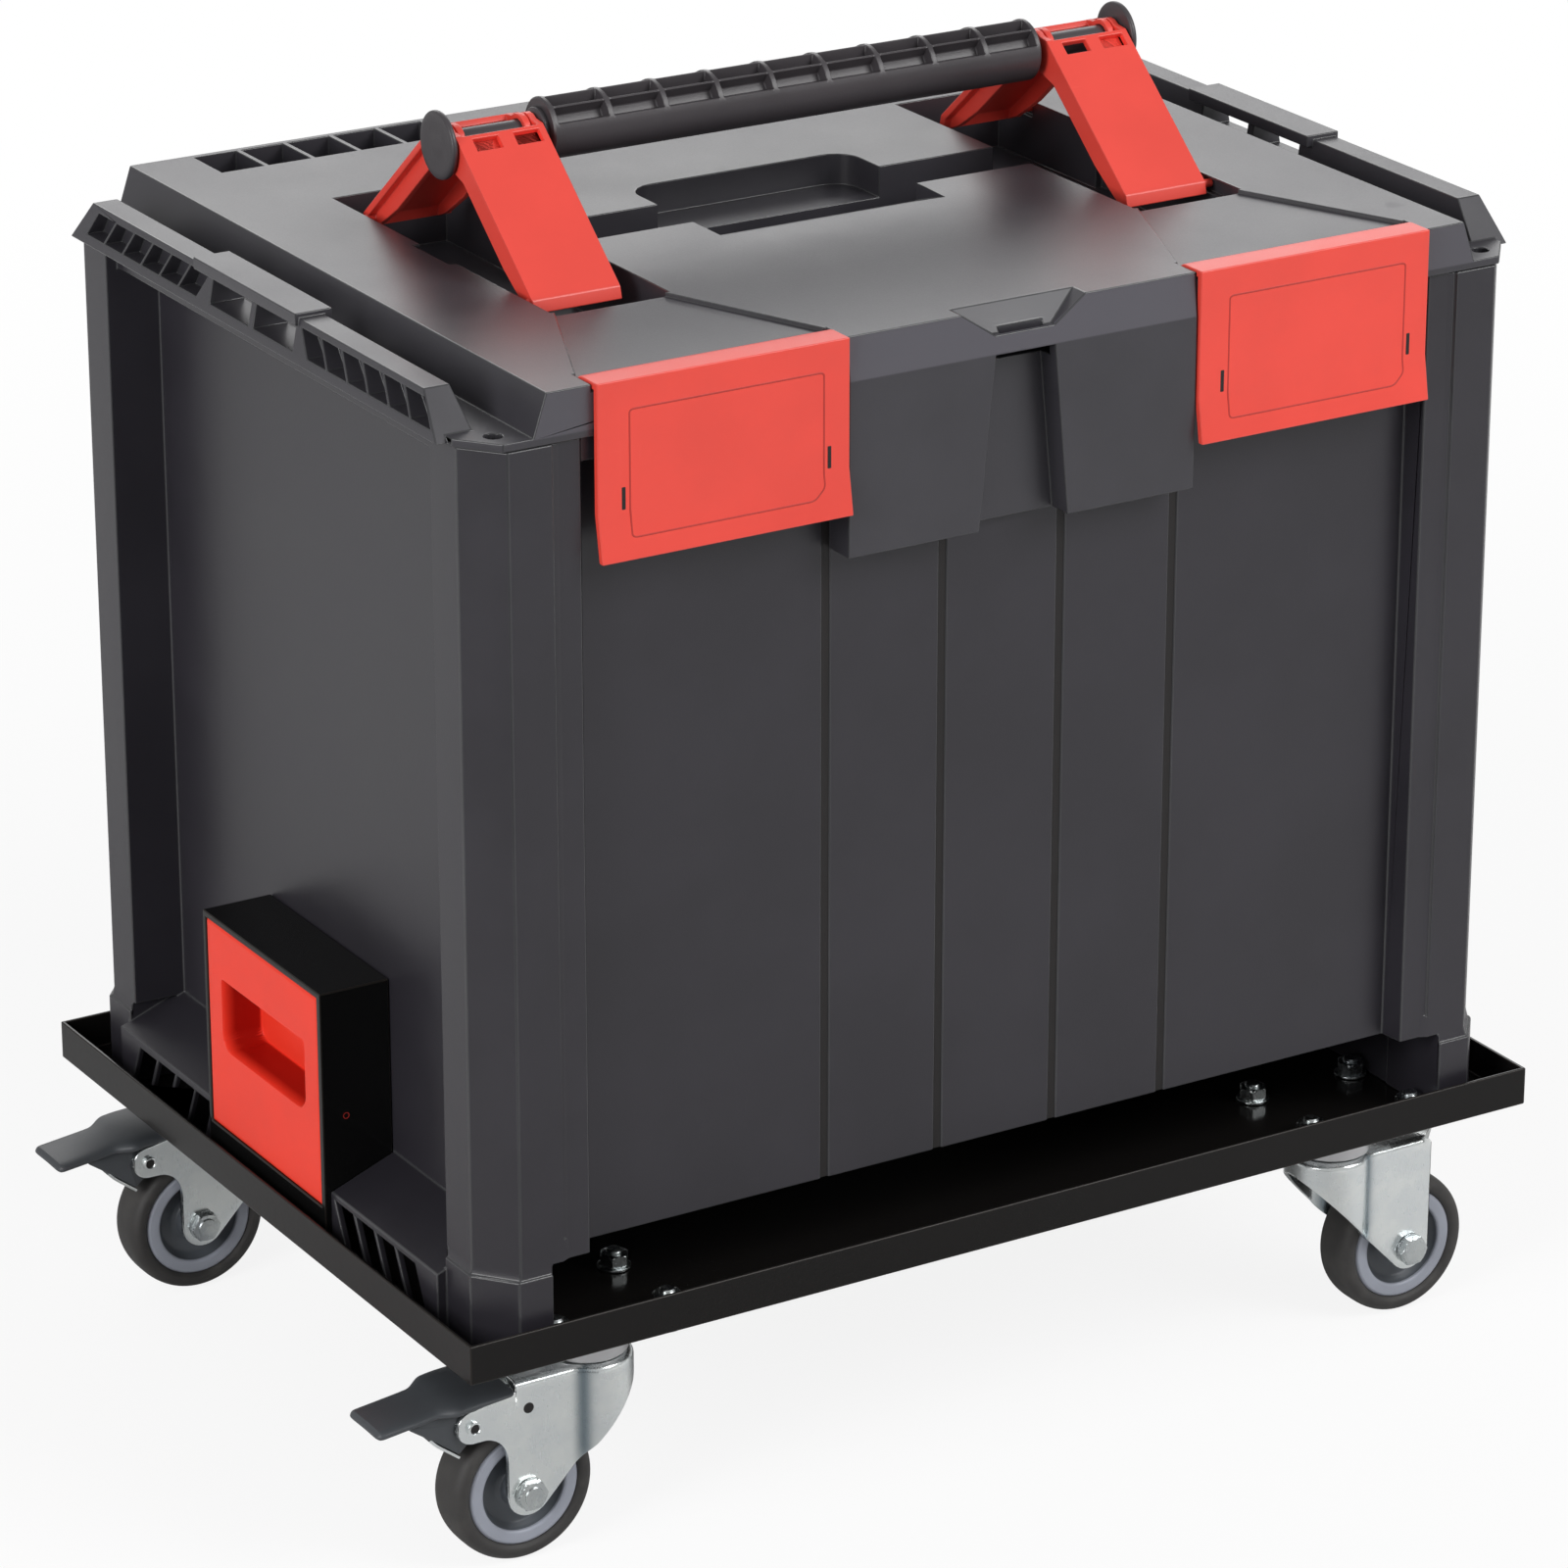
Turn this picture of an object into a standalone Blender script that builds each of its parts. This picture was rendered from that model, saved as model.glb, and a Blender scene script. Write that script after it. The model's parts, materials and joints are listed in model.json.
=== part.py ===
"""Stacking tool case with a folding bar handle, standing on a four-castor dolly.

Metres, +Z up. The front, with its two latches, faces -Y. Every shape is laid out about
the middle of the case; one empty then moves the whole assembly so that the origin lies
under the middle of its bounding box, on the floor.
"""

import math

import bmesh
import bpy
from mathutils import Matrix, Vector

for old in list(bpy.data.objects):
    bpy.data.objects.remove(old, do_unlink=True)

# Clearances
GAP = 0.0003
RUN = 0.0004
SWING = 0.0006

# Castors
WHEEL_DIAMETER = 0.075
WHEEL_WIDTH = 0.025
TYRE_BAND = 0.0072
HUB_RADIUS = 0.0095
WEB_HALF = 0.005
AXLE_RADIUS = 0.005
AXLE_HEAD_RADIUS = 0.0085
AXLE_HEAD_HEIGHT = 0.0050
CASTOR_HEIGHT = 0.118
CASTOR_TRAIL = 0.040
CASTOR_INSET_X = 0.086
CASTOR_INSET_Y = 0.046
FORK_SHEET = 0.0025
FORK_SIDE_GAP = 0.0015
FORK_BOSS = 0.0115
CROWN_RADIUS = 0.0225
NOSE_LOW = 0.086
NOSE_START = 0.0125
BOSS_START = math.radians(223.5)
CROWN_SHEET = 0.003
PLATE_MARGIN = 0.009
PLATE_SHEET = 0.003
BEARING_RADIUS = 0.0205
BEARING_HEIGHT = 0.0175
KINGPIN_RADIUS = 0.006
KINGPIN_HEAD_RADIUS = 0.011
KINGPIN_HEAD_HEIGHT = 0.003
BOLT_PITCH_X = 0.060
BOLT_PITCH_Y = 0.050
BOLT_RADIUS = 0.004
BOLT_HEAD_RADIUS = 0.0072
BOLT_HEAD_HEIGHT = 0.005
NUT_HEIGHT = 0.0065
BOLT_TAIL = 0.003

# Brake pedals on the left castors
EAR_CLEAR = 0.0135
EAR_ANGLE = math.radians(55.0)
EAR_RADIUS = 0.0085
EAR_SCALLOP = 0.0125
CHEEK_HOLE = 0.0024
CHEEK_HOLE_RISE = 0.006
EAR_STEP = 0.004
PEDAL_PIN_RADIUS = 0.0035
PEDAL_REACH = 0.0545
PEDAL_RISE = 0.0165
PEDAL_SHEET = 0.0045
PEDAL_WIDTH = 0.044
PEDAL_TAIL = 0.0205
PEDAL_NECK = 0.010

# Dolly tray
TRAY_SHEET = 0.002
TRAY_RIM = 0.0195
TRAY_CLEAR_X = 0.0047
TRAY_CLEAR_Y = 0.006

# Case body
CASE_LENGTH = 0.566
CASE_DEPTH = 0.412
CASE_HEIGHT = 0.4377
WALL = 0.0035
FLOOR_RAISE = 0.0425
POST_CHAMFER_X = 0.0154
POST_CHAMFER_Y = 0.019
POST_SIDE = 0.024
POST_FRONT = 0.0226
POST_GROOVE = 0.004
POST_GROOVE_DEPTH = 0.005
POST_STRIP = 0.011
POST_DRAFT = 0.0015
FRONT_RECESS = 0.0153
SIDE_RECESS = 0.027
RIM_HEIGHT = 0.0115
RIM_INSET = 0.002
PANEL_GROOVE_X = (0.0325, 0.0955)
PANEL_GROOVE_WIDTH = 0.004
PANEL_GROOVE_DEPTH = 0.0018
FOOT_FLARE = 0.002
FOOT_TOP = 0.0385
FOOT_FLARE_HEIGHT = 0.0115
RUNNER_PROUD = 0.007
RUNNER_EDGE = 0.031
RUNNER_RISE = 0.013
RUNNER_RIB = 0.0025
RUNNER_PITCH = 0.0205
RUNNER_SLANT = 0.011

# Side locks
LOCK_PROUD = 0.0103
LOCK_WIDTH = 0.122
LOCK_HEIGHT = 0.133
LOCK_FRAME = 0.0032
LOCK_SHEET = 0.002
LOCK_SILL = 0.0225
SLIDER_DEPTH = 0.024
SCOOP_WIDTH = 0.087
SCOOP_HEIGHT = 0.037
SCOOP_DEPTH = 0.0205
SCOOP_DROP = 0.027

# Lid
LID_HEIGHT = 0.024
LID_SKIN = 0.003
FLANGE = 0.004
FLANGE_PROUD = 0.002
DOME_INSET = 0.035
DOME_SLOPE = 0.008
RAIL_PROUD = 0.008
RAIL_HEIGHT = 0.0175
RAIL_TOP_WIDTH = 0.013
RAIL_LEAN_OUT = 0.004
RAIL_LEAN_IN = 0.003
RAIL_HALF = 0.184
RAIL_END_SLANT = 0.018
RAIL_MID_FRONT = 0.048
RAIL_MID_BACK = 0.055
RAIL_MID_RISE = 0.0025
RAIL_MID_WIDER = 0.004
RAIL_SHIFT = 0.0045
RAIL_RIB = 0.002
RAIL_POST = 0.005
RAIL_MID_WINDOW = 0.0390
RAIL_COUNT = 6
RAIL_PITCH = 0.0197
RAIL_SLANT = 0.009
RAIL_POCKET = 0.010
CORNER_HOLE = 0.0042
BACK_POCKET = 0.0225
BACK_PITCH = 0.0254
BACK_COUNT = 5
BACK_INNER_X = 0.0905
BACK_DEPTH_Y = 0.030
BACK_EDGE = 0.0035
BACK_DEEP = 0.012
APRON_HALF = 0.0943
APRON_DROP = 0.1045
APRON_PROUD = 0.0025
APRON_CREASE = 0.021
NOTCH_TOP = 0.016
NOTCH_BOTTOM = 0.0245
NOTCH_DEPTH = 0.013
FUNNEL_BACK = 0.020
FUNNEL_FRONT = 0.034
FUNNEL_LENGTH = 0.0105
FUNNEL_DEEP = 0.012
FUNNEL_SLOT = 0.012

# Lid hinge
HINGE_X = 0.150
HINGE_KNUCKLE = 0.020
HINGE_RADIUS = 0.0045
HINGE_PIN_RADIUS = 0.0022
HINGE_BACK = 0.0052

# Latches
LATCH_GAP = 0.0007
LATCH_WIDTH = 0.130
LATCH_DROP = 0.082
LATCH_SHEET = 0.0035
LATCH_FLARE = 0.0038
LATCH_FLARE_HEIGHT = 0.022
LATCH_PIVOT_BACK = 0.0095
LATCH_KNUCKLE = 0.0062
LATCH_PIN_RADIUS = 0.002
LATCH_PIN_SEAT = 0.004
LATCH_PROUD = 0.001
LATCH_SWING_BACK = 0.0013
SUNK = 0.002

# Handle
ROD_RADIUS = 0.006
GRIP_LENGTH = 0.270
GRIP_RADIUS = 0.015
GRIP_POCKETS = 9
GRIP_RIB = 0.0035
GRIP_POCKET_DEPTH = 0.0045
GRIP_ROW_PITCH = math.radians(36.0)
GRIP_ROW_HALF = math.radians(15.5)
CAP_RADIUS = 0.0163
CAP_WIDTH = 0.003
HANDLE_RISE = 0.052
HANDLE_DROP = 0.0643
LEG_ANGLE = math.radians(40.3)
LEG_LENGTH = 0.1025
LEG_WIDTH = 0.047
LEG_SHEET = 0.0035
LEG_FACE = 0.0123
LEG_TOP = 0.005
LEG_EYE = 0.009
LEG_DEEP = 0.0116
LEG_LIP = 0.005
LEG_TAPER = 0.031
LEG_WINDOW = 0.0135
LEG_WINDOW_TOP = 0.0024
LEG_WINDOW_HIGH = 0.0067
LEG_WINDOW_SHARES = (0.32, 0.775)
LEG_GAP = 0.004
FOOT_PIN_RADIUS = 0.0022
FOOT_PIN_END = 0.0065
FOOT_PIN_BELOW = 0.0043
FOOT_PIN_SEAT = 0.0022
POCKET_CLEAR = 0.0035
POCKET_SIDE = 0.011
GROOVE_CLEAR = 0.0015
WELL_HALF_X = 0.062
WELL_BACK = 0.048
WELL_FRONT = 0.045
WELL_DEEP = 0.0155
WELL_RISE = 0.009
WELL_CORNER = 0.014

# Levels and half sizes that follow from the sizes above
TRAY_FLOOR = CASTOR_HEIGHT + TRAY_SHEET
FEET = TRAY_FLOOR + GAP
BODY_BOTTOM = FEET + FLOOR_RAISE
BODY_TOP = FEET + CASE_HEIGHT - GAP
SEAM = BODY_TOP + GAP
LID_TOP = SEAM + LID_HEIGHT
SHELF = SEAM + FLANGE
HALF_X = CASE_LENGTH / 2
HALF_Y = CASE_DEPTH / 2
PANEL_X = HALF_X - SIDE_RECESS
PANEL_Y = HALF_Y - FRONT_RECESS
POST_X = HALF_X - POST_CHAMFER_X - POST_FRONT
STRIP_X = POST_X - POST_GROOVE
INNER_X = STRIP_X - POST_STRIP
POST_Y = HALF_Y - POST_CHAMFER_Y
INNER_Y = POST_Y - POST_SIDE
LOCK_X = HALF_X + LOCK_PROUD
TRAY_X = LOCK_X + TRAY_CLEAR_X + TRAY_SHEET
TRAY_Y = HALF_Y + FOOT_FLARE + TRAY_CLEAR_Y + TRAY_SHEET
CASTOR_X = TRAY_X - CASTOR_INSET_X
CASTOR_Y = TRAY_Y - CASTOR_INSET_Y
WHEEL_RADIUS = WHEEL_DIAMETER / 2
RUNNER_X = HALF_X + RUNNER_PROUD
RAIL_X = HALF_X + RAIL_PROUD
DOME_X = HALF_X - DOME_INSET
ROD_Z = LID_TOP + HANDLE_RISE
PIVOT_Y = -HALF_Y + LATCH_PIVOT_BACK
PIVOT_Z = LID_TOP + LATCH_PROUD - LATCH_KNUCKLE
HINGE_Y = HALF_Y + HINGE_BACK
LATCH_IN = APRON_HALF + LATCH_GAP
LATCH_OUT = LATCH_IN + LATCH_WIDTH
LEG_IN = GRIP_LENGTH / 2 + LEG_GAP
LEG_OUT = LEG_IN + LEG_WIDTH
FOOT_PIN_ALONG = LEG_LENGTH - FOOT_PIN_END
FOOT_PIN_UP = LEG_FACE - FOOT_PIN_BELOW
EAR_REACH = WHEEL_RADIUS + EAR_CLEAR
EAR_X = CASTOR_TRAIL + EAR_REACH * math.cos(EAR_ANGLE)
EAR_Z = WHEEL_RADIUS + EAR_REACH * math.sin(EAR_ANGLE)
PEDAL_TIP = CASTOR_X + EAR_X + PEDAL_REACH
ORIGIN_SHIFT = (PEDAL_TIP - TRAY_X) / 2

PARTS = bpy.data.collections.new("tool_case_on_dolly")
CUTTERS = bpy.data.collections.new("cutters")
for group in (PARTS, CUTTERS):
    bpy.context.scene.collection.children.link(group)

ROOT = bpy.data.objects.new("case_centre", None)
ROOT.location = (ORIGIN_SHIFT, 0.0, 0.0)
PARTS.objects.link(ROOT)

TURN = {
    "X": Matrix.Rotation(math.pi / 2, 4, "Y"),
    "Y": Matrix.Rotation(-math.pi / 2, 4, "X"),
    "Z": Matrix.Identity(4),
}
LAY = {
    "X": Matrix(((0, 0, 1, 0), (1, 0, 0, 0), (0, 1, 0, 0), (0, 0, 0, 1))),
    "Y": Matrix(((1, 0, 0, 0), (0, 0, -1, 0), (0, 1, 0, 0), (0, 0, 0, 1))),
    "Z": Matrix.Identity(4),
}


def material(name, colour, roughness, metallic=0.0):
    """A plain Principled material in one colour."""
    made = bpy.data.materials.new(name)
    made.use_nodes = True
    shader = made.node_tree.nodes["Principled BSDF"]
    shader.inputs["Base Color"].default_value = (*colour, 1.0)
    shader.inputs["Roughness"].default_value = roughness
    shader.inputs["Metallic"].default_value = metallic
    return made


BLACK = material("black_case_plastic", (0.018, 0.018, 0.020), 0.42)
GRIP_BLACK = material("black_grip_plastic", (0.012, 0.012, 0.013), 0.5)
RED = material("red_plastic", (0.72, 0.035, 0.022), 0.35)
GLOSS = material("black_powder_coat", (0.006, 0.006, 0.007), 0.18)
ZINC = material("zinc_plated_steel", (0.72, 0.74, 0.76), 0.28, 1.0)
STEEL = material("bright_steel", (0.62, 0.62, 0.63), 0.25, 1.0)
RUBBER = material("grey_rubber_tyre", (0.055, 0.054, 0.055), 0.6)
CORE = material("pale_grey_wheel_core", (0.33, 0.35, 0.40), 0.45)
SLATE = material("slate_grey_pedal", (0.075, 0.08, 0.088), 0.45)


def mirrored(span, side):
    """A low and high value on the given side of zero, in rising order."""
    return tuple(sorted((side * span[0], side * span[1])))


def frustum(shape, low_x, low_y, low_z, high_x, high_y, high_z):
    """A cube whose bottom and top faces take their own ranges."""
    for vertex in bmesh.ops.create_cube(shape, size=1.0)["verts"]:
        top = vertex.co.z > 0
        range_x = high_x if top else low_x
        range_y = high_y if top else low_y
        x = range_x[1] if vertex.co.x > 0 else range_x[0]
        y = range_y[1] if vertex.co.y > 0 else range_y[0]
        vertex.co = (x, y, high_z if top else low_z)


def block(shape, x, y, z):
    """A box between a low and a high value along each axis."""
    frustum(shape, x, y, z[0], x, y, z[1])


def rod(shape, axis, centre, length, radius, sides=12):
    """A capped cylinder about a point, along one axis."""
    place = Matrix.Translation(centre) @ TURN[axis]
    bmesh.ops.create_cone(
        shape,
        cap_ends=True,
        segments=sides,
        radius1=radius,
        radius2=radius,
        depth=length,
        matrix=place,
    )


def evaluated(thing):
    """The mesh of an object after its modifiers, welded and facing out."""
    bpy.context.view_layer.update()
    graph = bpy.context.evaluated_depsgraph_get()
    mesh = bpy.data.meshes.new_from_object(thing.evaluated_get(graph))
    shape = bmesh.new()
    shape.from_mesh(mesh)
    bmesh.ops.remove_doubles(shape, verts=shape.verts, dist=0.000005)
    bmesh.ops.dissolve_limit(shape, angle_limit=0.0005, verts=shape.verts, edges=shape.edges)
    bmesh.ops.recalc_face_normals(shape, faces=shape.faces)
    shape.to_mesh(mesh)
    shape.free()
    return mesh


def take(shape, thing, place):
    """Adds an object's finished mesh to a shape and removes the object."""
    mesh = evaluated(thing)
    mesh.transform(place)
    shape.from_mesh(mesh)
    bpy.data.objects.remove(thing, do_unlink=True)


def slab(shape, axis, span, outline, holes=()):
    """A flat outline with holes, extruded between two values along an axis."""
    curve = bpy.data.curves.new("outline", "CURVE")
    curve.dimensions = "2D"
    curve.fill_mode = "BOTH"
    curve.extrude = (span[1] - span[0]) / 2
    for ring in (outline, *holes):
        spline = curve.splines.new("POLY")
        spline.points.add(len(ring) - 1)
        for point, (u, v) in zip(spline.points, ring):
            point.co = (u, v, 0.0, 1.0)
        spline.use_cyclic_u = True
    guide = bpy.data.objects.new("outline", curve)
    CUTTERS.objects.link(guide)
    middle = Vector((0.0, 0.0, 0.0))
    middle["XYZ".index(axis)] = (span[0] + span[1]) / 2
    take(shape, guide, Matrix.Translation(middle) @ LAY[axis])


def turned(shape, axis, centre, profile, steps):
    """A closed profile of radius and height, swept right round an axis."""
    wire = bmesh.new()
    points = [wire.verts.new((radius, 0.0, height)) for radius, height in profile]
    for first, second in zip(points, points[1:] + points[:1]):
        wire.edges.new((first, second))
    mesh = bpy.data.meshes.new("profile")
    wire.to_mesh(mesh)
    wire.free()
    guide = bpy.data.objects.new("profile", mesh)
    CUTTERS.objects.link(guide)
    screw = guide.modifiers.new("turn", "SCREW")
    screw.steps = steps
    screw.render_steps = steps
    screw.use_merge_vertices = True
    screw.merge_threshold = 0.00001
    take(shape, guide, Matrix.Translation(centre) @ TURN[axis])


def circle(u, v, radius, sides, start=0.0, sweep=2 * math.pi):
    """Points along a circle or, with a sweep, along an arc including both its ends."""
    full = abs(sweep) > 6.283
    count = sides if full else sides + 1
    angles = [start + sweep * index / sides for index in range(count)]
    return [(u + radius * math.cos(angle), v + radius * math.sin(angle)) for angle in angles]


def solid(name, shape, look, origin=(0.0, 0.0, 0.0)):
    """A part made of a shape, with its origin at a point of the case's frame."""
    mesh = bpy.data.meshes.new(name)
    shape.to_mesh(mesh)
    shape.free()
    mesh.transform(Matrix.Translation(-Vector(origin)))
    made = bpy.data.objects.new(name, mesh)
    made.location = origin
    made.parent = ROOT
    mesh.materials.append(look)
    PARTS.objects.link(made)
    return made


def work(target, operation, shape):
    """Joins a shape to a part or cuts it from one, with a live Boolean."""
    label = f"{target.name}_{operation.lower()}_{len(target.modifiers)}"
    mesh = bpy.data.meshes.new(label)
    shape.to_mesh(mesh)
    shape.free()
    helper = bpy.data.objects.new(label, mesh)
    helper.parent = ROOT
    helper.hide_render = True
    helper.display_type = "WIRE"
    CUTTERS.objects.link(helper)
    step = target.modifiers.new(label, "BOOLEAN")
    step.operation = operation
    step.solver = "EXACT"
    step.object = helper


def settle(made):
    """Keeps a part's finished mesh, for pieces that are stamped several times."""
    mesh = evaluated(made)
    bpy.data.objects.remove(made, do_unlink=True)
    return mesh


def stamp(name, mesh, look, place):
    """A copy of a finished mesh at a place in the case's frame."""
    made = bpy.data.objects.new(name, mesh)
    made.parent = ROOT
    made.matrix_local = place
    if not mesh.materials:
        mesh.materials.append(look)
    PARTS.objects.link(made)
    return made


def round_edges(mesh, angle=35.0):
    """Shades a turned mesh smooth except at its sharp edges."""
    mesh.shade_smooth()
    mesh.set_sharp_from_angle(angle=math.radians(angle))


SIDES = {"left": -1, "right": 1}


def case_outline(inset):
    """Plan of the walls and corner posts, moved in by an inset."""
    corner = [
        (INNER_X + inset - POST_DRAFT, PANEL_Y - inset),
        (INNER_X + inset, HALF_Y - inset - RIM_INSET),
        (STRIP_X, HALF_Y - inset - RIM_INSET),
        (POST_X, HALF_Y - inset),
        (HALF_X - POST_CHAMFER_X - inset / 2, HALF_Y - inset),
        (HALF_X - inset, POST_Y - inset / 2),
        (HALF_X - inset, INNER_Y + inset),
        (PANEL_X - inset, INNER_Y + inset - POST_DRAFT),
    ]
    back = [(-x, y) for x, y in reversed(corner)]
    return corner + [(x, -y) for x, y in reversed(corner)] + [(x, -y) for x, y in reversed(back)] + back


def foot_outline(grow):
    """Plan of one foot in the front right quarter, seen from above."""
    inner = CASTOR_X + BOLT_PITCH_X / 2 + BOLT_HEAD_RADIUS + RUN
    return [
        (inner, -INNER_Y - FOOT_FLARE),
        (inner, -HALF_Y - grow),
        (HALF_X - POST_CHAMFER_X + grow, -HALF_Y - grow),
        (HALF_X + grow, -POST_Y - grow),
        (HALF_X + grow, -INNER_Y - FOOT_FLARE),
    ]


def build_body():
    """Open-topped shell on four feet and two runners, with its rims and hinge arms."""
    shape = bmesh.new()
    slab(shape, "Z", (BODY_BOTTOM, BODY_TOP), case_outline(0.0))
    body = solid("case_body", shape, BLACK)

    feet = bmesh.new()
    flares = bmesh.new()
    for side in (-1, 1):
        for end in (-1, 1):
            outline = [(side * x, -end * y) for x, y in foot_outline(FOOT_FLARE)]
            slab(feet, "Z", (FEET, FEET + FOOT_TOP), outline)
            outline = [(side * x, -end * y) for x, y in foot_outline(-FOOT_FLARE)]
            flare = bmesh.new()
            slab(flare, "Z", (FEET + FOOT_TOP - WALL, BODY_BOTTOM + FOOT_FLARE_HEIGHT), outline)
            for vertex in flare.verts:
                if vertex.co.z < FEET + FOOT_TOP:
                    vertex.co.x += side * FOOT_FLARE * 1.8 * (abs(vertex.co.x) > POST_X + POST_FRONT * 0.8)
                    vertex.co.y += end * FOOT_FLARE * 1.8 * (abs(vertex.co.y) > INNER_Y + FOOT_FLARE * 2)
            mesh = bpy.data.meshes.new("flare")
            flare.to_mesh(mesh)
            flare.free()
            flares.from_mesh(mesh)
    work(body, "UNION", feet)
    work(body, "UNION", flares)

    runners = bmesh.new()
    for side in (-1, 1):
        outline = [
            (side * (PANEL_X - WALL), FEET),
            (side * (PANEL_X - WALL), FEET + RUNNER_EDGE + RUNNER_RISE),
            (side * PANEL_X, FEET + RUNNER_EDGE + RUNNER_RISE),
            (side * RUNNER_X, FEET + RUNNER_EDGE),
            (side * RUNNER_X, FEET),
        ]
        slab(runners, "Y", (-INNER_Y - WALL, INNER_Y + WALL), outline)
    work(body, "UNION", runners)

    rims = bmesh.new()
    low = BODY_TOP - RIM_HEIGHT
    for side in (-1, 1):
        block(
            rims,
            mirrored((LATCH_IN, INNER_X + WALL / 2), side),
            (-HALF_Y + RIM_INSET * 1.5, -PANEL_Y + WALL / 2),
            (low, BODY_TOP),
        )
        block(
            rims,
            mirrored((PANEL_X - WALL / 2, HALF_X - RIM_INSET * 3), side),
            (-INNER_Y - WALL / 2, INNER_Y + WALL / 2),
            (low, BODY_TOP),
        )
    block(rims, (-INNER_X, INNER_X), (PANEL_Y - WALL / 2, HALF_Y - RIM_INSET), (low, BODY_TOP))
    work(body, "UNION", rims)

    arms = bmesh.new()
    eyes = bmesh.new()
    holes = bmesh.new()
    for side in (-1, 1):
        for end in (-1, 1):
            centre = side * HINGE_X + end * (HINGE_KNUCKLE + GAP)
            span = (centre - HINGE_KNUCKLE / 2, centre + HINGE_KNUCKLE / 2)
            block(arms, span, (PANEL_Y, HINGE_Y), (SEAM - HINGE_RADIUS * 2, BODY_TOP))
            rod(eyes, "X", (centre, HINGE_Y, SEAM), HINGE_KNUCKLE, HINGE_RADIUS)
            rod(holes, "X", (centre, HINGE_Y, SEAM), HINGE_KNUCKLE * 1.2, HINGE_PIN_RADIUS + RUN)
    work(body, "UNION", arms)
    work(body, "UNION", eyes)
    work(body, "DIFFERENCE", holes)

    hollow = bmesh.new()
    slab(hollow, "Z", (BODY_BOTTOM + WALL, BODY_TOP + WALL), case_outline(WALL))
    work(body, "DIFFERENCE", hollow)

    under = bmesh.new()
    for side in (-1, 1):
        top = FEET + RUNNER_EDGE - WALL
        outline = [
            (side * PANEL_X, FEET - WALL),
            (side * PANEL_X, top + RUNNER_RISE * 0.7),
            (side * (RUNNER_X - WALL), top),
            (side * (RUNNER_X - WALL), FEET - WALL),
        ]
        slab(under, "Y", (-INNER_Y, INNER_Y), outline)
        for end in (-1, 1):
            block(
                under,
                mirrored((POST_X + POST_FRONT / 2 + WALL, HALF_X - WALL), side),
                mirrored((INNER_Y + WALL, POST_Y), end),
                (FEET - WALL, FEET + FOOT_TOP - WALL),
            )
    work(body, "DIFFERENCE", under)

    cuts = bmesh.new()
    for side in (-1, 1):
        block(
            cuts,
            mirrored((PANEL_X, RUNNER_X + WALL), side),
            (-LOCK_WIDTH / 2 - GAP, LOCK_WIDTH / 2 + GAP),
            (FEET - WALL, FEET + LOCK_HEIGHT),
        )
        first = LOCK_WIDTH / 2 + RUNNER_SLANT / 2 + RUNNER_RIB
        count = int((INNER_Y - RUNNER_SLANT / 2 - first) / RUNNER_PITCH)
        half = (RUNNER_PITCH - RUNNER_RIB) / 2
        low, high = FEET + WALL, FEET + RUNNER_EDGE - WALL
        for end in (-1, 1):
            for index in range(count):
                y = end * (first + RUNNER_PITCH * (index + 0.5))
                lean = -end * RUNNER_SLANT / 2
                outline = [
                    (y - half + lean, high),
                    (y + half + lean, high),
                    (y + half - lean, low),
                    (y - half - lean, low),
                ]
                slab(cuts, "X", mirrored((RUNNER_X - WALL * 2, RUNNER_X + WALL), side), outline)
        for end in (-1, 1):
            block(
                cuts,
                mirrored((STRIP_X, POST_X), side),
                mirrored((HALF_Y - POST_GROOVE_DEPTH + WALL, HALF_Y + WALL), end),
                (BODY_BOTTOM + FOOT_FLARE_HEIGHT, BODY_TOP + WALL),
            )
            for x in PANEL_GROOVE_X:
                block(
                    cuts,
                    mirrored((x - PANEL_GROOVE_WIDTH / 2, x + PANEL_GROOVE_WIDTH / 2), side),
                    mirrored((PANEL_Y - PANEL_GROOVE_DEPTH, PANEL_Y + WALL), end),
                    (BODY_BOTTOM - WALL, BODY_TOP - RIM_HEIGHT - WALL),
                )
    work(body, "DIFFERENCE", cuts)


def rail_windows(cuts, side):
    """Slanted pockets along the outer face of one stacking rail."""
    low = SHELF + FLANGE / 2
    high = SHELF + RAIL_HEIGHT - WALL
    deep = mirrored((RAIL_X - RAIL_POCKET, RAIL_X + WALL), side)
    through = mirrored((RAIL_X - RAIL_LEAN_OUT - RAIL_TOP_WIDTH - WALL * 3, RAIL_X + WALL), side)
    half = (RAIL_PITCH - RAIL_RIB) / 2
    for end in (-1, 1):
        start = side * RAIL_SHIFT + end * RAIL_POST / 2
        near, far = sorted((start, start + end * RAIL_MID_WINDOW))
        block(cuts, through, (near, far), (low, high))
        first = start + end * (RAIL_MID_WINDOW + RAIL_SLANT)
        for index in range(RAIL_COUNT):
            y = first + end * RAIL_PITCH * (index + 0.5)
            lean = -end * RAIL_SLANT / 2
            outline = [
                (y - half + lean, high),
                (y + half + lean, high),
                (y + half - lean, low),
                (y - half - lean, low),
            ]
            slab(cuts, "X", deep, outline)


def leg_point(u, w, direction, drop=0.0):
    """A point of a leg, along it and square to it, with the bar pushed down by a drop."""
    angle = LEG_ANGLE * (1.0 - drop / HANDLE_DROP)
    y = u * math.cos(angle) + w * math.sin(angle)
    z = w * math.cos(angle) - u * math.sin(angle)
    return (direction * y, ROD_Z - drop + z)


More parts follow.
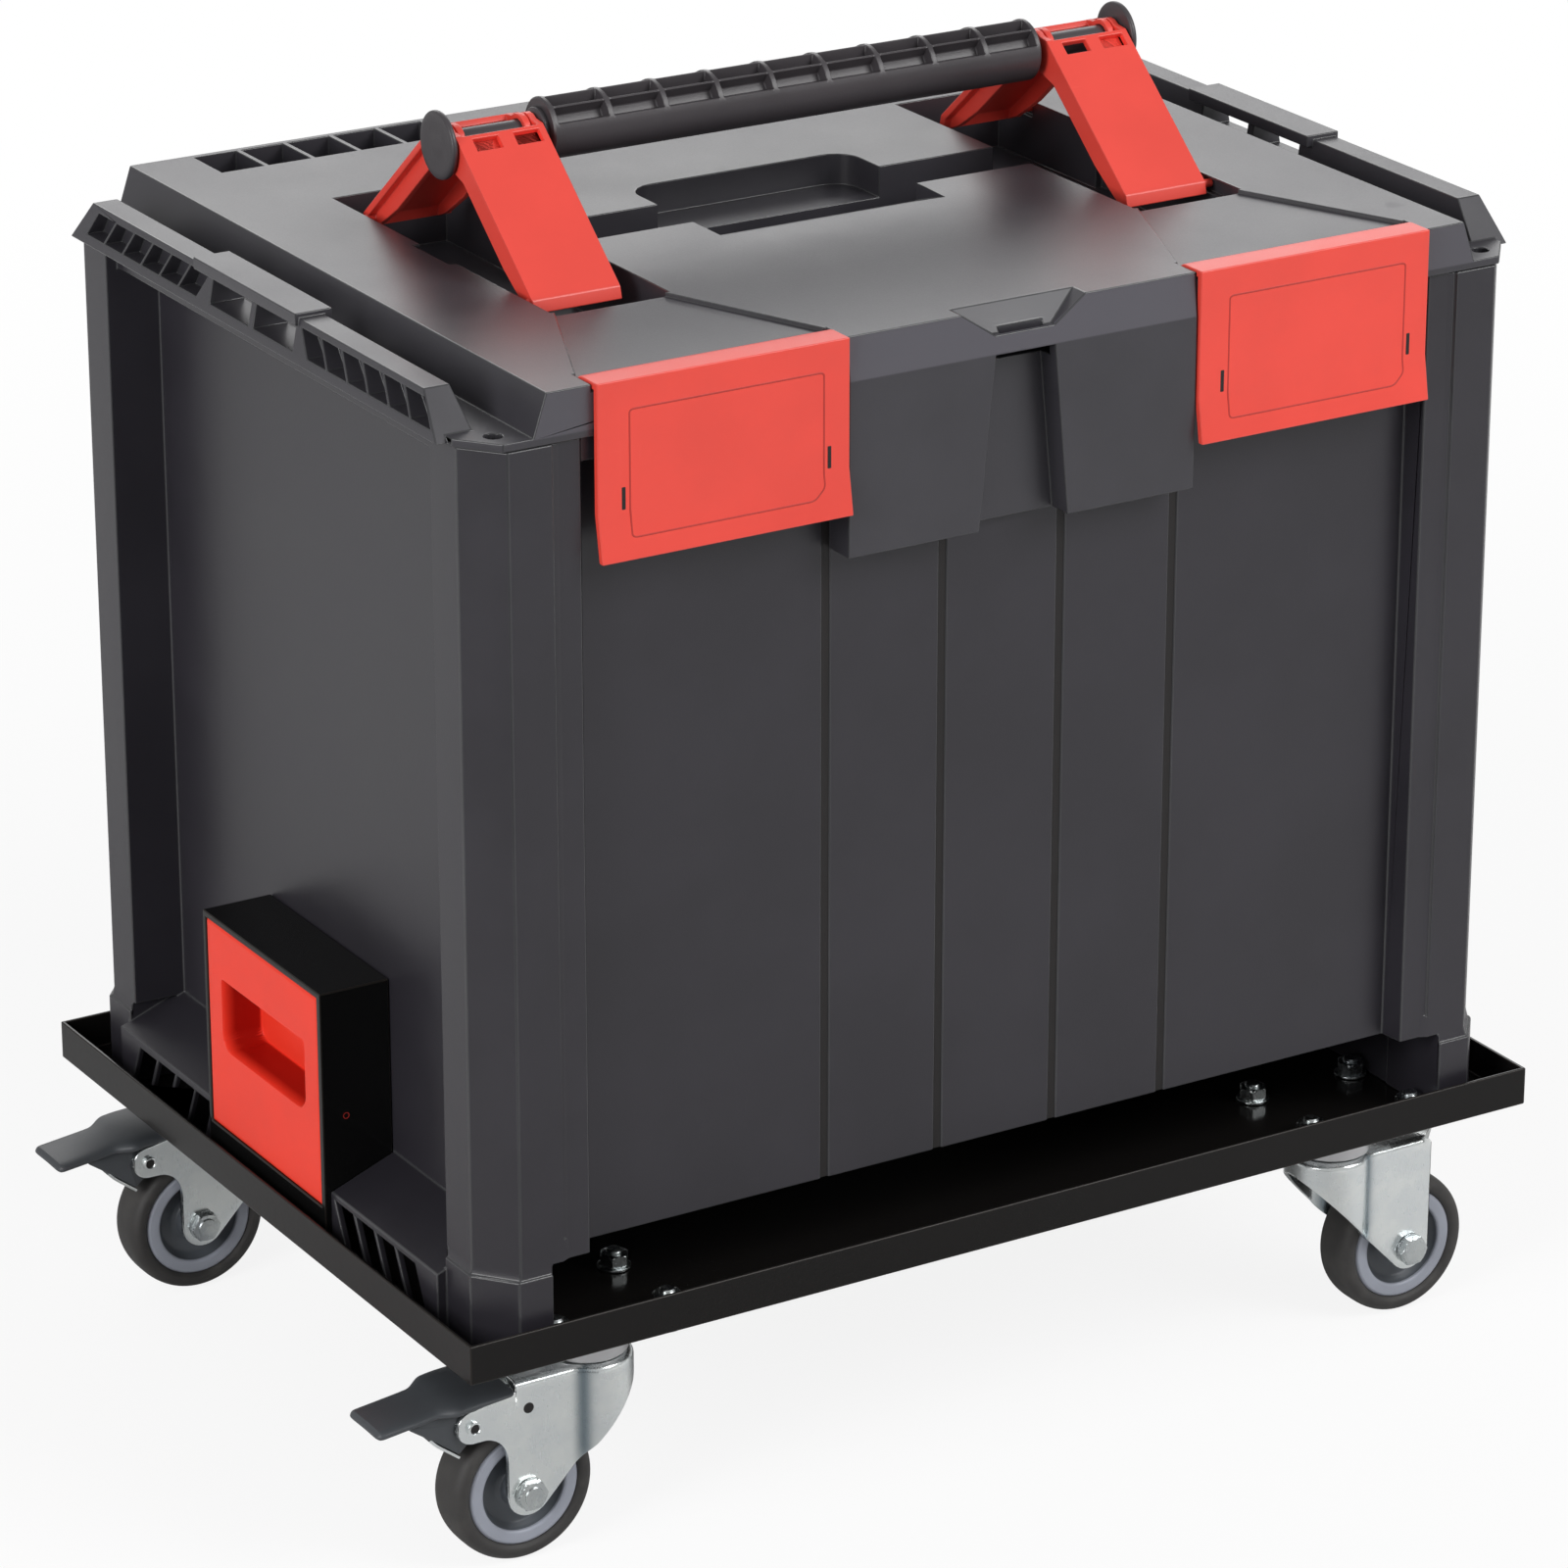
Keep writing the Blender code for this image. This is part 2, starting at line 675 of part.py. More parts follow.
def foot_track(direction):
    """Outline of the slot that a foot pin follows while the bar goes down."""
    drops = [HANDLE_DROP * step / 8 for step in range(9)]
    path = [leg_point(FOOT_PIN_ALONG, FOOT_PIN_UP, direction, drop) for drop in drops]
    half = FOOT_PIN_RADIUS + RUN
    low_y, high_y = min(y for y, z in path) - half, max(y for y, z in path) + half
    low_z, high_z = min(z for y, z in path) - half, max(z for y, z in path) + half
    return [(low_y, low_z), (high_y, low_z), (high_y, high_z), (low_y, high_z)]


def build_lid():
    """Shallow shell with its stacking rails, apron, handle tubs and latch seats."""
    shape = bmesh.new()
    edge_x, edge_y = HALF_X + FLANGE_PROUD, HALF_Y
    flange = [
        (edge_x - POST_CHAMFER_X, -edge_y),
        (edge_x, -edge_y + POST_CHAMFER_Y),
        (edge_x, edge_y - POST_CHAMFER_Y),
        (edge_x - POST_CHAMFER_X, edge_y),
    ]
    flange += [(-x, y) for x, y in reversed(flange)]
    slab(shape, "Z", (SEAM, SHELF), flange)
    lid = solid("lid_shell", shape, BLACK, (0.0, HINGE_Y, SEAM))

    dome = bmesh.new()
    wide = (-DOME_X - DOME_SLOPE, DOME_X + DOME_SLOPE)
    frustum(dome, wide, (-HALF_Y, HALF_Y), SEAM, (-DOME_X, DOME_X), (-HALF_Y, HALF_Y), LID_TOP)
    work(lid, "UNION", dome)

    rails = bmesh.new()
    for side in (-1, 1):
        out, into = RAIL_X - RAIL_LEAN_OUT, RAIL_X - RAIL_LEAN_OUT - RAIL_TOP_WIDTH
        reach = RAIL_HALF - RAIL_END_SLANT
        frustum(
            rails,
            mirrored((into - RAIL_LEAN_IN, RAIL_X), side),
            (-RAIL_HALF, RAIL_HALF),
            SEAM + FLANGE / 4,
            mirrored((into, out), side),
            (-reach, reach),
            SHELF + RAIL_HEIGHT,
        )
    work(lid, "UNION", rails)
    middles = bmesh.new()
    for side in (-1, 1):
        block(
            middles,
            mirrored(
                (RAIL_X - RAIL_LEAN_OUT - RAIL_TOP_WIDTH - RAIL_MID_WIDER, RAIL_X - RAIL_LEAN_OUT / 2),
                side,
            ),
            (-RAIL_MID_FRONT, RAIL_MID_BACK),
            (SHELF + RAIL_HEIGHT - WALL, SHELF + RAIL_HEIGHT + RAIL_MID_RISE),
        )
    work(lid, "UNION", middles)

    apron = bmesh.new()
    front = -HALF_Y - APRON_PROUD
    crease = LID_TOP - APRON_CREASE
    bottom = LID_TOP - APRON_DROP
    outline = [
        (-HALF_Y + WALL, LID_TOP),
        (-HALF_Y, LID_TOP),
        (front, crease),
        (front, bottom),
        (-PANEL_Y - SWING, bottom),
        (-PANEL_Y - SWING, crease - WALL),
        (-HALF_Y + WALL, crease - WALL),
    ]
    slab(apron, "X", (-APRON_HALF, APRON_HALF), outline)
    work(lid, "UNION", apron)

    knuckles = bmesh.new()
    eyes = bmesh.new()
    for side in (-1, 1):
        span = (side * HINGE_X - HINGE_KNUCKLE / 2, side * HINGE_X + HINGE_KNUCKLE / 2)
        block(knuckles, span, (HALF_Y - WALL / 2, HINGE_Y), (SEAM, SEAM + HINGE_RADIUS))
        rod(eyes, "X", (side * HINGE_X, HINGE_Y, SEAM), HINGE_KNUCKLE, HINGE_RADIUS)
    work(lid, "UNION", knuckles)
    work(lid, "UNION", eyes)

    hollow = bmesh.new()
    inside = (-DOME_X + WALL, DOME_X - WALL)
    block(hollow, inside, (-HALF_Y + WALL, HALF_Y - WALL), (SEAM - WALL, LID_TOP - LID_SKIN))
    for side in (-1, 1):
        block(
            hollow,
            mirrored((NOTCH_BOTTOM + WALL, APRON_HALF - WALL), side),
            (front + WALL, -PANEL_Y),
            (bottom - WALL, SEAM - WALL - GAP),
        )
    work(lid, "DIFFERENCE", hollow)

    floor = LID_TOP - (HANDLE_DROP - HANDLE_RISE + GRIP_RADIUS) - WALL
    pocket_x = (GRIP_LENGTH / 2 + LEG_GAP - POCKET_SIDE, LEG_OUT + POCKET_CLEAR)
    pocket_y = LEG_LENGTH + POCKET_CLEAR
    cap_x = LEG_OUT + GAP * 2 + CAP_WIDTH + POCKET_CLEAR
    cap_y = CAP_RADIUS + GROOVE_CLEAR
    groove_y = GRIP_RADIUS + GROOVE_CLEAR
    seat_y = (PIVOT_Y - LATCH_KNUCKLE - SWING, PIVOT_Y + LATCH_KNUCKLE + LATCH_SWING_BACK)
    seat_z = PIVOT_Z - LATCH_KNUCKLE - SWING
    back_x = (BACK_INNER_X - WALL, BACK_INNER_X + BACK_PITCH * BACK_COUNT + WALL)
    back_y = (HALF_Y - BACK_EDGE - BACK_DEPTH_Y, HALF_Y - BACK_EDGE)
    under = LID_TOP - LID_SKIN / 2

    tubs = bmesh.new()
    caps = bmesh.new()
    for side in (-1, 1):
        wide = mirrored((pocket_x[0] - WALL, pocket_x[1] + WALL), side)
        block(tubs, wide, (-pocket_y - WALL, pocket_y + WALL), (floor - WALL, under))
        cap = mirrored((pocket_x[1], cap_x + WALL), side)
        block(caps, cap, (-cap_y - WALL, cap_y + WALL), (floor - WALL, under))
        back = mirrored(back_x, side)
        block(caps, back, (back_y[0] - WALL, back_y[1] + WALL), (LID_TOP - BACK_DEEP - WALL, under))
        latch = mirrored((APRON_HALF - WALL * 2, LATCH_OUT + LATCH_PIN_SEAT + WALL), side)
        block(caps, latch, (-HALF_Y + WALL / 2, seat_y[1] + WALL), (seat_z - WALL, under))
    chute_y = (-HALF_Y + WALL / 2, -HALF_Y + FUNNEL_LENGTH + WALL)
    chute_x = FUNNEL_FRONT + WALL
    block(caps, (-chute_x, chute_x), chute_y, (LID_TOP - FUNNEL_DEEP - WALL, under))
    work(lid, "UNION", tubs)
    work(lid, "UNION", caps)
    groove = bmesh.new()
    wide = (-pocket_x[0], pocket_x[0])
    block(groove, wide, (-groove_y - WALL, groove_y + WALL), (floor - WALL, under))
    work(lid, "UNION", groove)
    well = bmesh.new()
    well_floor = LID_TOP - WELL_DEEP
    block(
        well,
        (-WELL_HALF_X - WALL, WELL_HALF_X + WALL),
        (-WELL_FRONT - WALL, WELL_BACK + WALL),
        (well_floor - WALL, under),
    )
    work(lid, "UNION", well)

    open_top = LID_TOP + WALL
    pockets = bmesh.new()
    cap_bays = bmesh.new()
    for side in (-1, 1):
        block(pockets, mirrored(pocket_x, side), (-pocket_y, pocket_y), (floor, open_top))
        block(cap_bays, mirrored((pocket_x[1] - WALL, cap_x), side), (-cap_y, cap_y), (floor, open_top))
        for index in range(BACK_COUNT):
            x = BACK_INNER_X + BACK_PITCH * index
            block(
                cap_bays,
                mirrored((x, x + BACK_POCKET), side),
                back_y,
                (LID_TOP - BACK_DEEP, open_top),
            )
        seat_x = mirrored((LATCH_IN - GAP, LATCH_OUT + GAP), side)
        block(cap_bays, seat_x, seat_y, (seat_z, open_top))
        for end in (-1, 1):
            corner = (side * (HALF_X - POST_CHAMFER_X), end * (POST_Y + POST_CHAMFER_Y / 3), SEAM)
            rod(cap_bays, "Z", corner, LID_HEIGHT, CORNER_HOLE, 12)
    work(lid, "DIFFERENCE", pockets)
    work(lid, "DIFFERENCE", cap_bays)
    slot = bmesh.new()
    block(slot, (-pocket_x[0] - WALL, pocket_x[0] + WALL), (-groove_y, groove_y), (floor, open_top))
    work(lid, "DIFFERENCE", slot)
    hand = bmesh.new()
    outline = circle(WELL_HALF_X - WELL_CORNER, WELL_BACK - WELL_CORNER, WELL_CORNER, 5, 0.0, math.pi / 2)
    outline += [(-x, y) for x, y in reversed(outline)]
    outline += [(-WELL_HALF_X, 0.0), (WELL_HALF_X, 0.0)]
    slab(hand, "Z", (well_floor, open_top), outline)
    work(lid, "DIFFERENCE", hand)
    slope = bmesh.new()
    outline = [
        (-groove_y + WALL, LID_TOP - WELL_RISE),
        (-groove_y, LID_TOP - WELL_RISE),
        (-WELL_FRONT, LID_TOP + GAP),
        (-groove_y + WALL, LID_TOP + GAP),
    ]
    slab(slope, "X", (-WELL_HALF_X, WELL_HALF_X), outline)
    work(lid, "DIFFERENCE", slope)

    sunk = bmesh.new()
    lips = bmesh.new()
    for side in (-1, 1):
        outline = [
            (side * (pocket_x[0] + WALL), -pocket_y + WALL),
            (side * (pocket_x[1] - WALL), -pocket_y + WALL),
            (side * (LATCH_OUT + GAP), seat_y[1] - WALL),
            (side * (LATCH_IN - GAP), seat_y[1] - WALL),
        ]
        slab(sunk, "Z", (LID_TOP - SUNK, open_top), outline)
        block(
            lips,
            mirrored((LATCH_IN - GAP, LATCH_OUT + GAP), side),
            (-HALF_Y - WALL, seat_y[0] + WALL),
            (LID_TOP + LATCH_PROUD - LATCH_SHEET - SWING, open_top),
        )
        middle = side * (LATCH_IN + LATCH_WIDTH / 2)
        length = LATCH_WIDTH + LATCH_PIN_SEAT * 2 + GAP * 2
        rod(lips, "X", (middle, PIVOT_Y, PIVOT_Z), length, LATCH_PIN_RADIUS + RUN, 12)
        hinge = (side * HINGE_X, HINGE_Y, SEAM)
        rod(lips, "X", hinge, HINGE_KNUCKLE * 1.2, HINGE_PIN_RADIUS + RUN)
        rail_windows(lips, side)
        for direction in (-1, 1):
            wall = mirrored((pocket_x[1] - WALL, pocket_x[1] + FOOT_PIN_SEAT + RUN), side)
            slab(lips, "X", wall, foot_track(direction))
    work(lid, "DIFFERENCE", sunk)
    work(lid, "DIFFERENCE", lips)

    mouth = bmesh.new()
    outline = [
        (-NOTCH_BOTTOM, bottom - WALL),
        (NOTCH_BOTTOM, bottom - WALL),
        (NOTCH_TOP, crease),
        (-NOTCH_TOP, crease),
    ]
    slab(mouth, "Y", (front - WALL, front + NOTCH_DEPTH), outline)
    work(lid, "DIFFERENCE", mouth)
    funnel = bmesh.new()
    frustum(
        funnel,
        (-FUNNEL_BACK * 0.8, FUNNEL_BACK * 0.8),
        (front - WALL, -HALF_Y + WALL / 2),
        LID_TOP - FUNNEL_DEEP,
        (-FUNNEL_FRONT, FUNNEL_FRONT),
        (front - WALL, -HALF_Y + FUNNEL_LENGTH),
        LID_TOP + GAP,
    )
    work(lid, "DIFFERENCE", funnel)
    slot = bmesh.new()
    block(
        slot,
        (-FUNNEL_SLOT, FUNNEL_SLOT),
        (-HALF_Y + WALL * 0.2, -HALF_Y + WALL),
        (LID_TOP - FUNNEL_DEEP - WALL * 2, LID_TOP - FUNNEL_DEEP / 2),
    )
    work(lid, "DIFFERENCE", slot)


def build_pins():
    """Hinge pins at the back of the lid and latch pins at its front."""
    for label, side in SIDES.items():
        shape = bmesh.new()
        rod(shape, "X", (side * HINGE_X, HINGE_Y, SEAM), HINGE_KNUCKLE * 3 + GAP * 2, HINGE_PIN_RADIUS)
        solid(f"hinge_pin_{label}", shape, STEEL, (side * HINGE_X, HINGE_Y, SEAM))
        middle = side * (LATCH_IN + LATCH_WIDTH / 2)
        shape = bmesh.new()
        length = LATCH_WIDTH + LATCH_PIN_SEAT * 2
        rod(shape, "X", (middle, PIVOT_Y, PIVOT_Z), length, LATCH_PIN_RADIUS, 12)
        solid(f"latch_pin_{label}", shape, STEEL, (middle, PIVOT_Y, PIVOT_Z))


def build_latches():
    """Two flap latches that hang over the front edge of the lid on their pins."""
    top = LID_TOP + LATCH_PROUD
    bottom = LID_TOP - LATCH_DROP
    inner = -HALF_Y - SWING
    outer = inner - LATCH_SHEET
    step = top - LATCH_SHEET
    outline = [
        (outer, top),
        (outer, bottom + LATCH_FLARE_HEIGHT),
        (outer - LATCH_FLARE, bottom),
        (inner - LATCH_FLARE, bottom),
        (inner, bottom + LATCH_FLARE_HEIGHT),
        (inner, step),
        (PIVOT_Y - LATCH_KNUCKLE, step),
    ]
    outline += circle(PIVOT_Y, PIVOT_Z, LATCH_KNUCKLE, 14, math.pi, 1.5 * math.pi)
    bore = circle(PIVOT_Y, PIVOT_Z, LATCH_PIN_RADIUS + RUN, 12)
    for label, side in SIDES.items():
        shape = bmesh.new()
        slab(shape, "X", mirrored((LATCH_IN, LATCH_OUT), side), outline, (bore,))
        middle = side * (LATCH_IN + LATCH_WIDTH / 2)
        solid(f"latch_{label}", shape, RED, (middle, PIVOT_Y, PIVOT_Z))


def build_handle():
    """Grip on a rod with end caps, and the four legs that hang on the rod."""
    home = (0.0, 0.0, ROD_Z)
    shape = bmesh.new()
    rod(shape, "X", home, LEG_OUT * 2 + GAP * 2, ROD_RADIUS)
    round_edges(solid("handle_rod", shape, GRIP_BLACK, home).data)
    for label, side in SIDES.items():
        shape = bmesh.new()
        centre = (side * (LEG_OUT + GAP * 2 + CAP_WIDTH / 2), 0.0, ROD_Z)
        rod(shape, "X", centre, CAP_WIDTH, CAP_RADIUS, 20)
        round_edges(solid(f"handle_cap_{label}", shape, GRIP_BLACK, home).data)

    shape = bmesh.new()
    half = GRIP_LENGTH / 2
    ring = [
        (ROD_RADIUS + RUN, -half),
        (GRIP_RADIUS, -half),
        (GRIP_RADIUS, half),
        (ROD_RADIUS + RUN, half),
    ]
    turned(shape, "X", home, ring, 24)
    grip = solid("handle_grip", shape, GRIP_BLACK, home)
    cells = bmesh.new()
    pitch = (GRIP_LENGTH - GRIP_RIB) / GRIP_POCKETS
    low, high = GRIP_RADIUS - GRIP_POCKET_DEPTH, GRIP_RADIUS + WALL
    spread = math.tan(GRIP_ROW_HALF)
    for row in (-1.5, -0.5, 0.5, 1.5):
        for index in range(GRIP_POCKETS):
            cell = bmesh.new()
            start = -half + GRIP_RIB + pitch * index
            span = (start, start + pitch - GRIP_RIB)
            inner, outer = low * spread, high * spread
            frustum(cell, span, (-inner, inner), low, span, (-outer, outer), high)
            tilt = Matrix.Rotation(row * GRIP_ROW_PITCH, 4, "X")
            bmesh.ops.transform(cell, matrix=Matrix.Translation(home) @ tilt, verts=cell.verts)
            mesh = bpy.data.meshes.new("cell")
            cell.to_mesh(mesh)
            cell.free()
            cells.from_mesh(mesh)
    work(grip, "DIFFERENCE", cells)

    for place, direction, inset in (("front", -1, 0.0), ("rear", 1, LEG_SHEET + SWING)):
        cheek = [
            (0.0, LEG_EYE),
            (LEG_TOP, LEG_FACE),
            (LEG_LENGTH - LEG_LIP, LEG_FACE),
            (LEG_LENGTH, LEG_FACE - LEG_SHEET),
            (LEG_LENGTH - LEG_LIP / 2, LEG_FACE - LEG_SHEET * 2),
            (LEG_LENGTH - LEG_LIP * 2, LEG_FACE - LEG_DEEP * 0.8),
            (LEG_LENGTH - LEG_TAPER, LEG_FACE - LEG_DEEP),
            (LEG_DEEP * 2, LEG_FACE - LEG_DEEP),
            (0.0, -LEG_EYE),
        ]
        cheek += circle(0.0, 0.0, LEG_EYE, 8, 1.5 * math.pi, -math.pi)[1:-1]
        outline = [leg_point(u, w, direction) for u, w in cheek]
        bore = [
            (direction * y, ROD_Z + z) for y, z in circle(0.0, 0.0, ROD_RADIUS + RUN, 12)
        ]
        web = [
            (LEG_TOP, LEG_FACE),
            (LEG_LENGTH - LEG_LIP, LEG_FACE),
            (LEG_LENGTH, LEG_FACE - LEG_SHEET),
            (LEG_LENGTH - LEG_LIP / 2, LEG_FACE - LEG_SHEET * 2),
            (LEG_LENGTH - LEG_LIP * 1.5, LEG_FACE - LEG_SHEET),
            (LEG_TOP, LEG_FACE - LEG_SHEET),
        ]
        plate = [leg_point(u, w, direction) for u, w in web]
        under = LEG_FACE - LEG_SHEET * 1.2
        slot = [(LEG_TOP + LEG_WINDOW_TOP, under), (LEG_TOP + LEG_WINDOW_TOP + LEG_WINDOW_HIGH, under)]
        slot += [(u, LEG_FACE + LEG_SHEET) for u, w in reversed(slot)]
        window = [leg_point(u, w, direction) for u, w in slot]
        for label, side in SIDES.items():
            shape = bmesh.new()
            slab(shape, "X", mirrored((LEG_IN + GAP, LEG_OUT - GAP), side), plate)
            leg = solid(f"handle_leg_{place}_{label}", shape, RED, home)
            sides = bmesh.new()
            for low in (LEG_IN + GAP + inset, LEG_OUT - GAP - inset - LEG_SHEET):
                slab(sides, "X", mirrored((low, low + LEG_SHEET), side), outline, (bore,))
            work(leg, "UNION", sides)
            pins = bmesh.new()
            tip = LEG_OUT + POCKET_CLEAR + FOOT_PIN_SEAT
            root = LEG_OUT - GAP - inset - LEG_SHEET / 2
            foot = leg_point(FOOT_PIN_ALONG, FOOT_PIN_UP, direction)
            rod(pins, "X", (side * (root + tip) / 2, *foot), tip - root, FOOT_PIN_RADIUS, 8)
            work(leg, "UNION", pins)
            windows = bmesh.new()
            first = LEG_IN if side > 0 else -LEG_OUT
            for share in LEG_WINDOW_SHARES:
                middle = first + LEG_WIDTH * share
                slab(windows, "X", (middle - LEG_WINDOW / 2, middle + LEG_WINDOW / 2), window)
            work(leg, "DIFFERENCE", windows)


def build_locks():
    """Housings on the tray at both ends of the case, each with a pull-out slider."""
    half = LOCK_WIDTH / 2
    low, high = FEET, FEET + LOCK_HEIGHT
    sill = low + LOCK_SILL
    back = LOCK_X - SLIDER_DEPTH
    for label, side in SIDES.items():
        shape = bmesh.new()
        block(shape, mirrored((PANEL_X + GAP, LOCK_X), side), (-half, half), (low, high))
        housing = solid(f"lock_housing_{label}", shape, GLOSS)
        bay = bmesh.new()
        block(
            bay,
            mirrored((back - GAP, LOCK_X + WALL), side),
            (-half + LOCK_FRAME, half - LOCK_FRAME),
            (sill, high - LOCK_FRAME),
        )
        work(housing, "DIFFERENCE", bay)
        behind = bmesh.new()
        block(
            behind,
            mirrored((PANEL_X - WALL, back - GAP - LOCK_SHEET), side),
            (-half + LOCK_SHEET, half - LOCK_SHEET),
            (low + LOCK_SHEET, high - LOCK_SHEET),
        )
        work(housing, "DIFFERENCE", behind)
        reach = half - LOCK_FRAME - GAP
        shape = bmesh.new()
        block(
            shape,
            mirrored((back, LOCK_X - GAP), side),
            (-reach, reach),
            (sill + GAP, high - LOCK_FRAME - GAP),
        )
        slider = solid(f"lock_slider_{label}", shape, RED, (side * LOCK_X, 0.0, sill))
        top = high - LOCK_FRAME - SCOOP_DROP
        scoop = bmesh.new()
        outline = [
            (side * (LOCK_X + WALL), top),
            (side * (LOCK_X - SCOOP_DEPTH), top),
            (side * (LOCK_X - SCOOP_DEPTH), top - SCOOP_HEIGHT),
            (side * (LOCK_X + WALL), top - SCOOP_HEIGHT),
        ]
        slab(scoop, "Y", (-SCOOP_WIDTH / 2, SCOOP_WIDTH / 2), outline)
        work(slider, "DIFFERENCE", scoop)


CORNERS = {"fl": (-1, -1), "fr": (1, -1), "bl": (-1, 1), "br": (1, 1)}


def bolt_places(side, end):
    """The four bolt positions of one castor."""
    return [
        (side * CASTOR_X + sx * BOLT_PITCH_X / 2, end * CASTOR_Y + sy * BOLT_PITCH_Y / 2)
        for sx in (-1, 1)
        for sy in (-1, 1)
    ]


def build_tray():
    """Shallow sheet pan with an upright rim and the castors' bolt holes."""
    shape = bmesh.new()
    rim = CASTOR_HEIGHT + TRAY_RIM
    block(shape, (-TRAY_X, TRAY_X), (-TRAY_Y, TRAY_Y), (CASTOR_HEIGHT, rim))
    tray = solid("dolly_tray", shape, GLOSS)
    inside = bmesh.new()
    wide, deep = TRAY_X - TRAY_SHEET, TRAY_Y - TRAY_SHEET
    block(inside, (-wide, wide), (-deep, deep), (TRAY_FLOOR, rim + TRAY_SHEET))
    work(tray, "DIFFERENCE", inside)
    holes = bmesh.new()
    for side, end in CORNERS.values():
        for x, y in bolt_places(side, end):
            rod(holes, "Z", (x, y, CASTOR_HEIGHT), TRAY_SHEET * 4, BOLT_RADIUS + RUN, 8)
    work(tray, "DIFFERENCE", holes)


def fork_edge(x):
    """Height of a fork's slanting lower edge at a distance from the king pin."""
    foot_x = CASTOR_TRAIL + FORK_BOSS * math.cos(BOSS_START)
    foot_z = WHEEL_RADIUS + FORK_BOSS * math.sin(BOSS_START)
    return foot_z + (foot_x - x) * (NOSE_LOW - foot_z) / (foot_x + CROWN_RADIUS)


def cheek_outline(braked):
    """Side plate of a fork: nose, axle boss and, on braked castors, the pedal ear."""
    top = CASTOR_HEIGHT - GAP * 2 - PLATE_SHEET - BEARING_HEIGHT
    axle = (CASTOR_TRAIL, WHEEL_RADIUS)
    outline = [(NOSE_START, top), (NOSE_START, fork_edge(NOSE_START))]
    outline += circle(*axle, FORK_BOSS, 8, BOSS_START, 2 * math.pi - BOSS_START)
    if braked:
        middle = CASTOR_TRAIL + FORK_BOSS + EAR_SCALLOP
        level = EAR_Z - EAR_RADIUS - EAR_SCALLOP - GAP
        outline += circle(middle, level, EAR_SCALLOP, 6, math.pi, math.radians(-100))
        outline += circle(EAR_X, EAR_Z, EAR_RADIUS, 7, math.radians(-80), math.radians(170))
        outline.append((CASTOR_TRAIL + FORK_BOSS * 0.6, EAR_Z + EAR_RADIUS + EAR_STEP))
    else:
        outline.append((CASTOR_TRAIL + FORK_BOSS, top - CROWN_SHEET))
    outline.append((CASTOR_TRAIL + FORK_BOSS * 0.6, top))
    return outline


def build_fork(braked):
    """One pressed fork: round nose about the king pin, crown plate, and a cheek on each side."""
    top = CASTOR_HEIGHT - GAP * 2 - PLATE_SHEET - BEARING_HEIGHT
    inner = WHEEL_WIDTH / 2 + FORK_SIDE_GAP
    roof = top - CROWN_SHEET
    shape = bmesh.new()
    rod(shape, "Z", (0.0, 0.0, (top + WHEEL_RADIUS) / 2), top - WHEEL_RADIUS, CROWN_RADIUS, 24)
    fork = solid("fork_pattern", shape, ZINC)
    hollow = bmesh.new()
    rod(hollow, "Z", (0.0, 0.0, roof / 2), roof, CROWN_RADIUS - FORK_SHEET, 24)
    work(fork, "DIFFERENCE", hollow)
    near, far = CROWN_RADIUS * 1.5, -CROWN_RADIUS * 1.5
    below = [(near, 0.0), (near, fork_edge(near)), (far, fork_edge(far)), (far, 0.0)]
    under = bmesh.new()
    slab(under, "Y", (-near, near), below)
    work(fork, "DIFFERENCE", under)
    mouth = bmesh.new()
    block(mouth, (0.0, near), (-inner - RUN / 2, inner + RUN / 2), (0.0, roof - GAP))
    work(fork, "DIFFERENCE", mouth)
    crown = bmesh.new()
    reach = CASTOR_TRAIL + FORK_BOSS * 0.6
    wide = inner + FORK_SHEET / 2
    block(crown, (-CROWN_RADIUS * 0.7, reach - GAP), (-wide, wide), (top - CROWN_SHEET + GAP, top - GAP))
    work(fork, "UNION", crown)
    bore = circle(CASTOR_TRAIL, WHEEL_RADIUS, AXLE_RADIUS + RUN, 12)
    holes = [bore]
    if braked:
        holes.append(circle(EAR_X, EAR_Z, PEDAL_PIN_RADIUS + RUN, 10))
        holes.append(circle(CASTOR_TRAIL, EAR_Z + CHEEK_HOLE_RISE, CHEEK_HOLE, 8))
    cheeks = bmesh.new()
    for end in (-1, 1):
        slab(cheeks, "Y", mirrored((inner, inner + FORK_SHEET), end), cheek_outline(braked), holes)
    work(fork, "UNION", cheeks)
    eye = bmesh.new()
    rod(eye, "Z", (0.0, 0.0, top), CROWN_SHEET * 4, KINGPIN_RADIUS + RUN)
    work(fork, "DIFFERENCE", eye)
    fork.location = (0.0, 0.0, 0.0)
    return settle(fork)


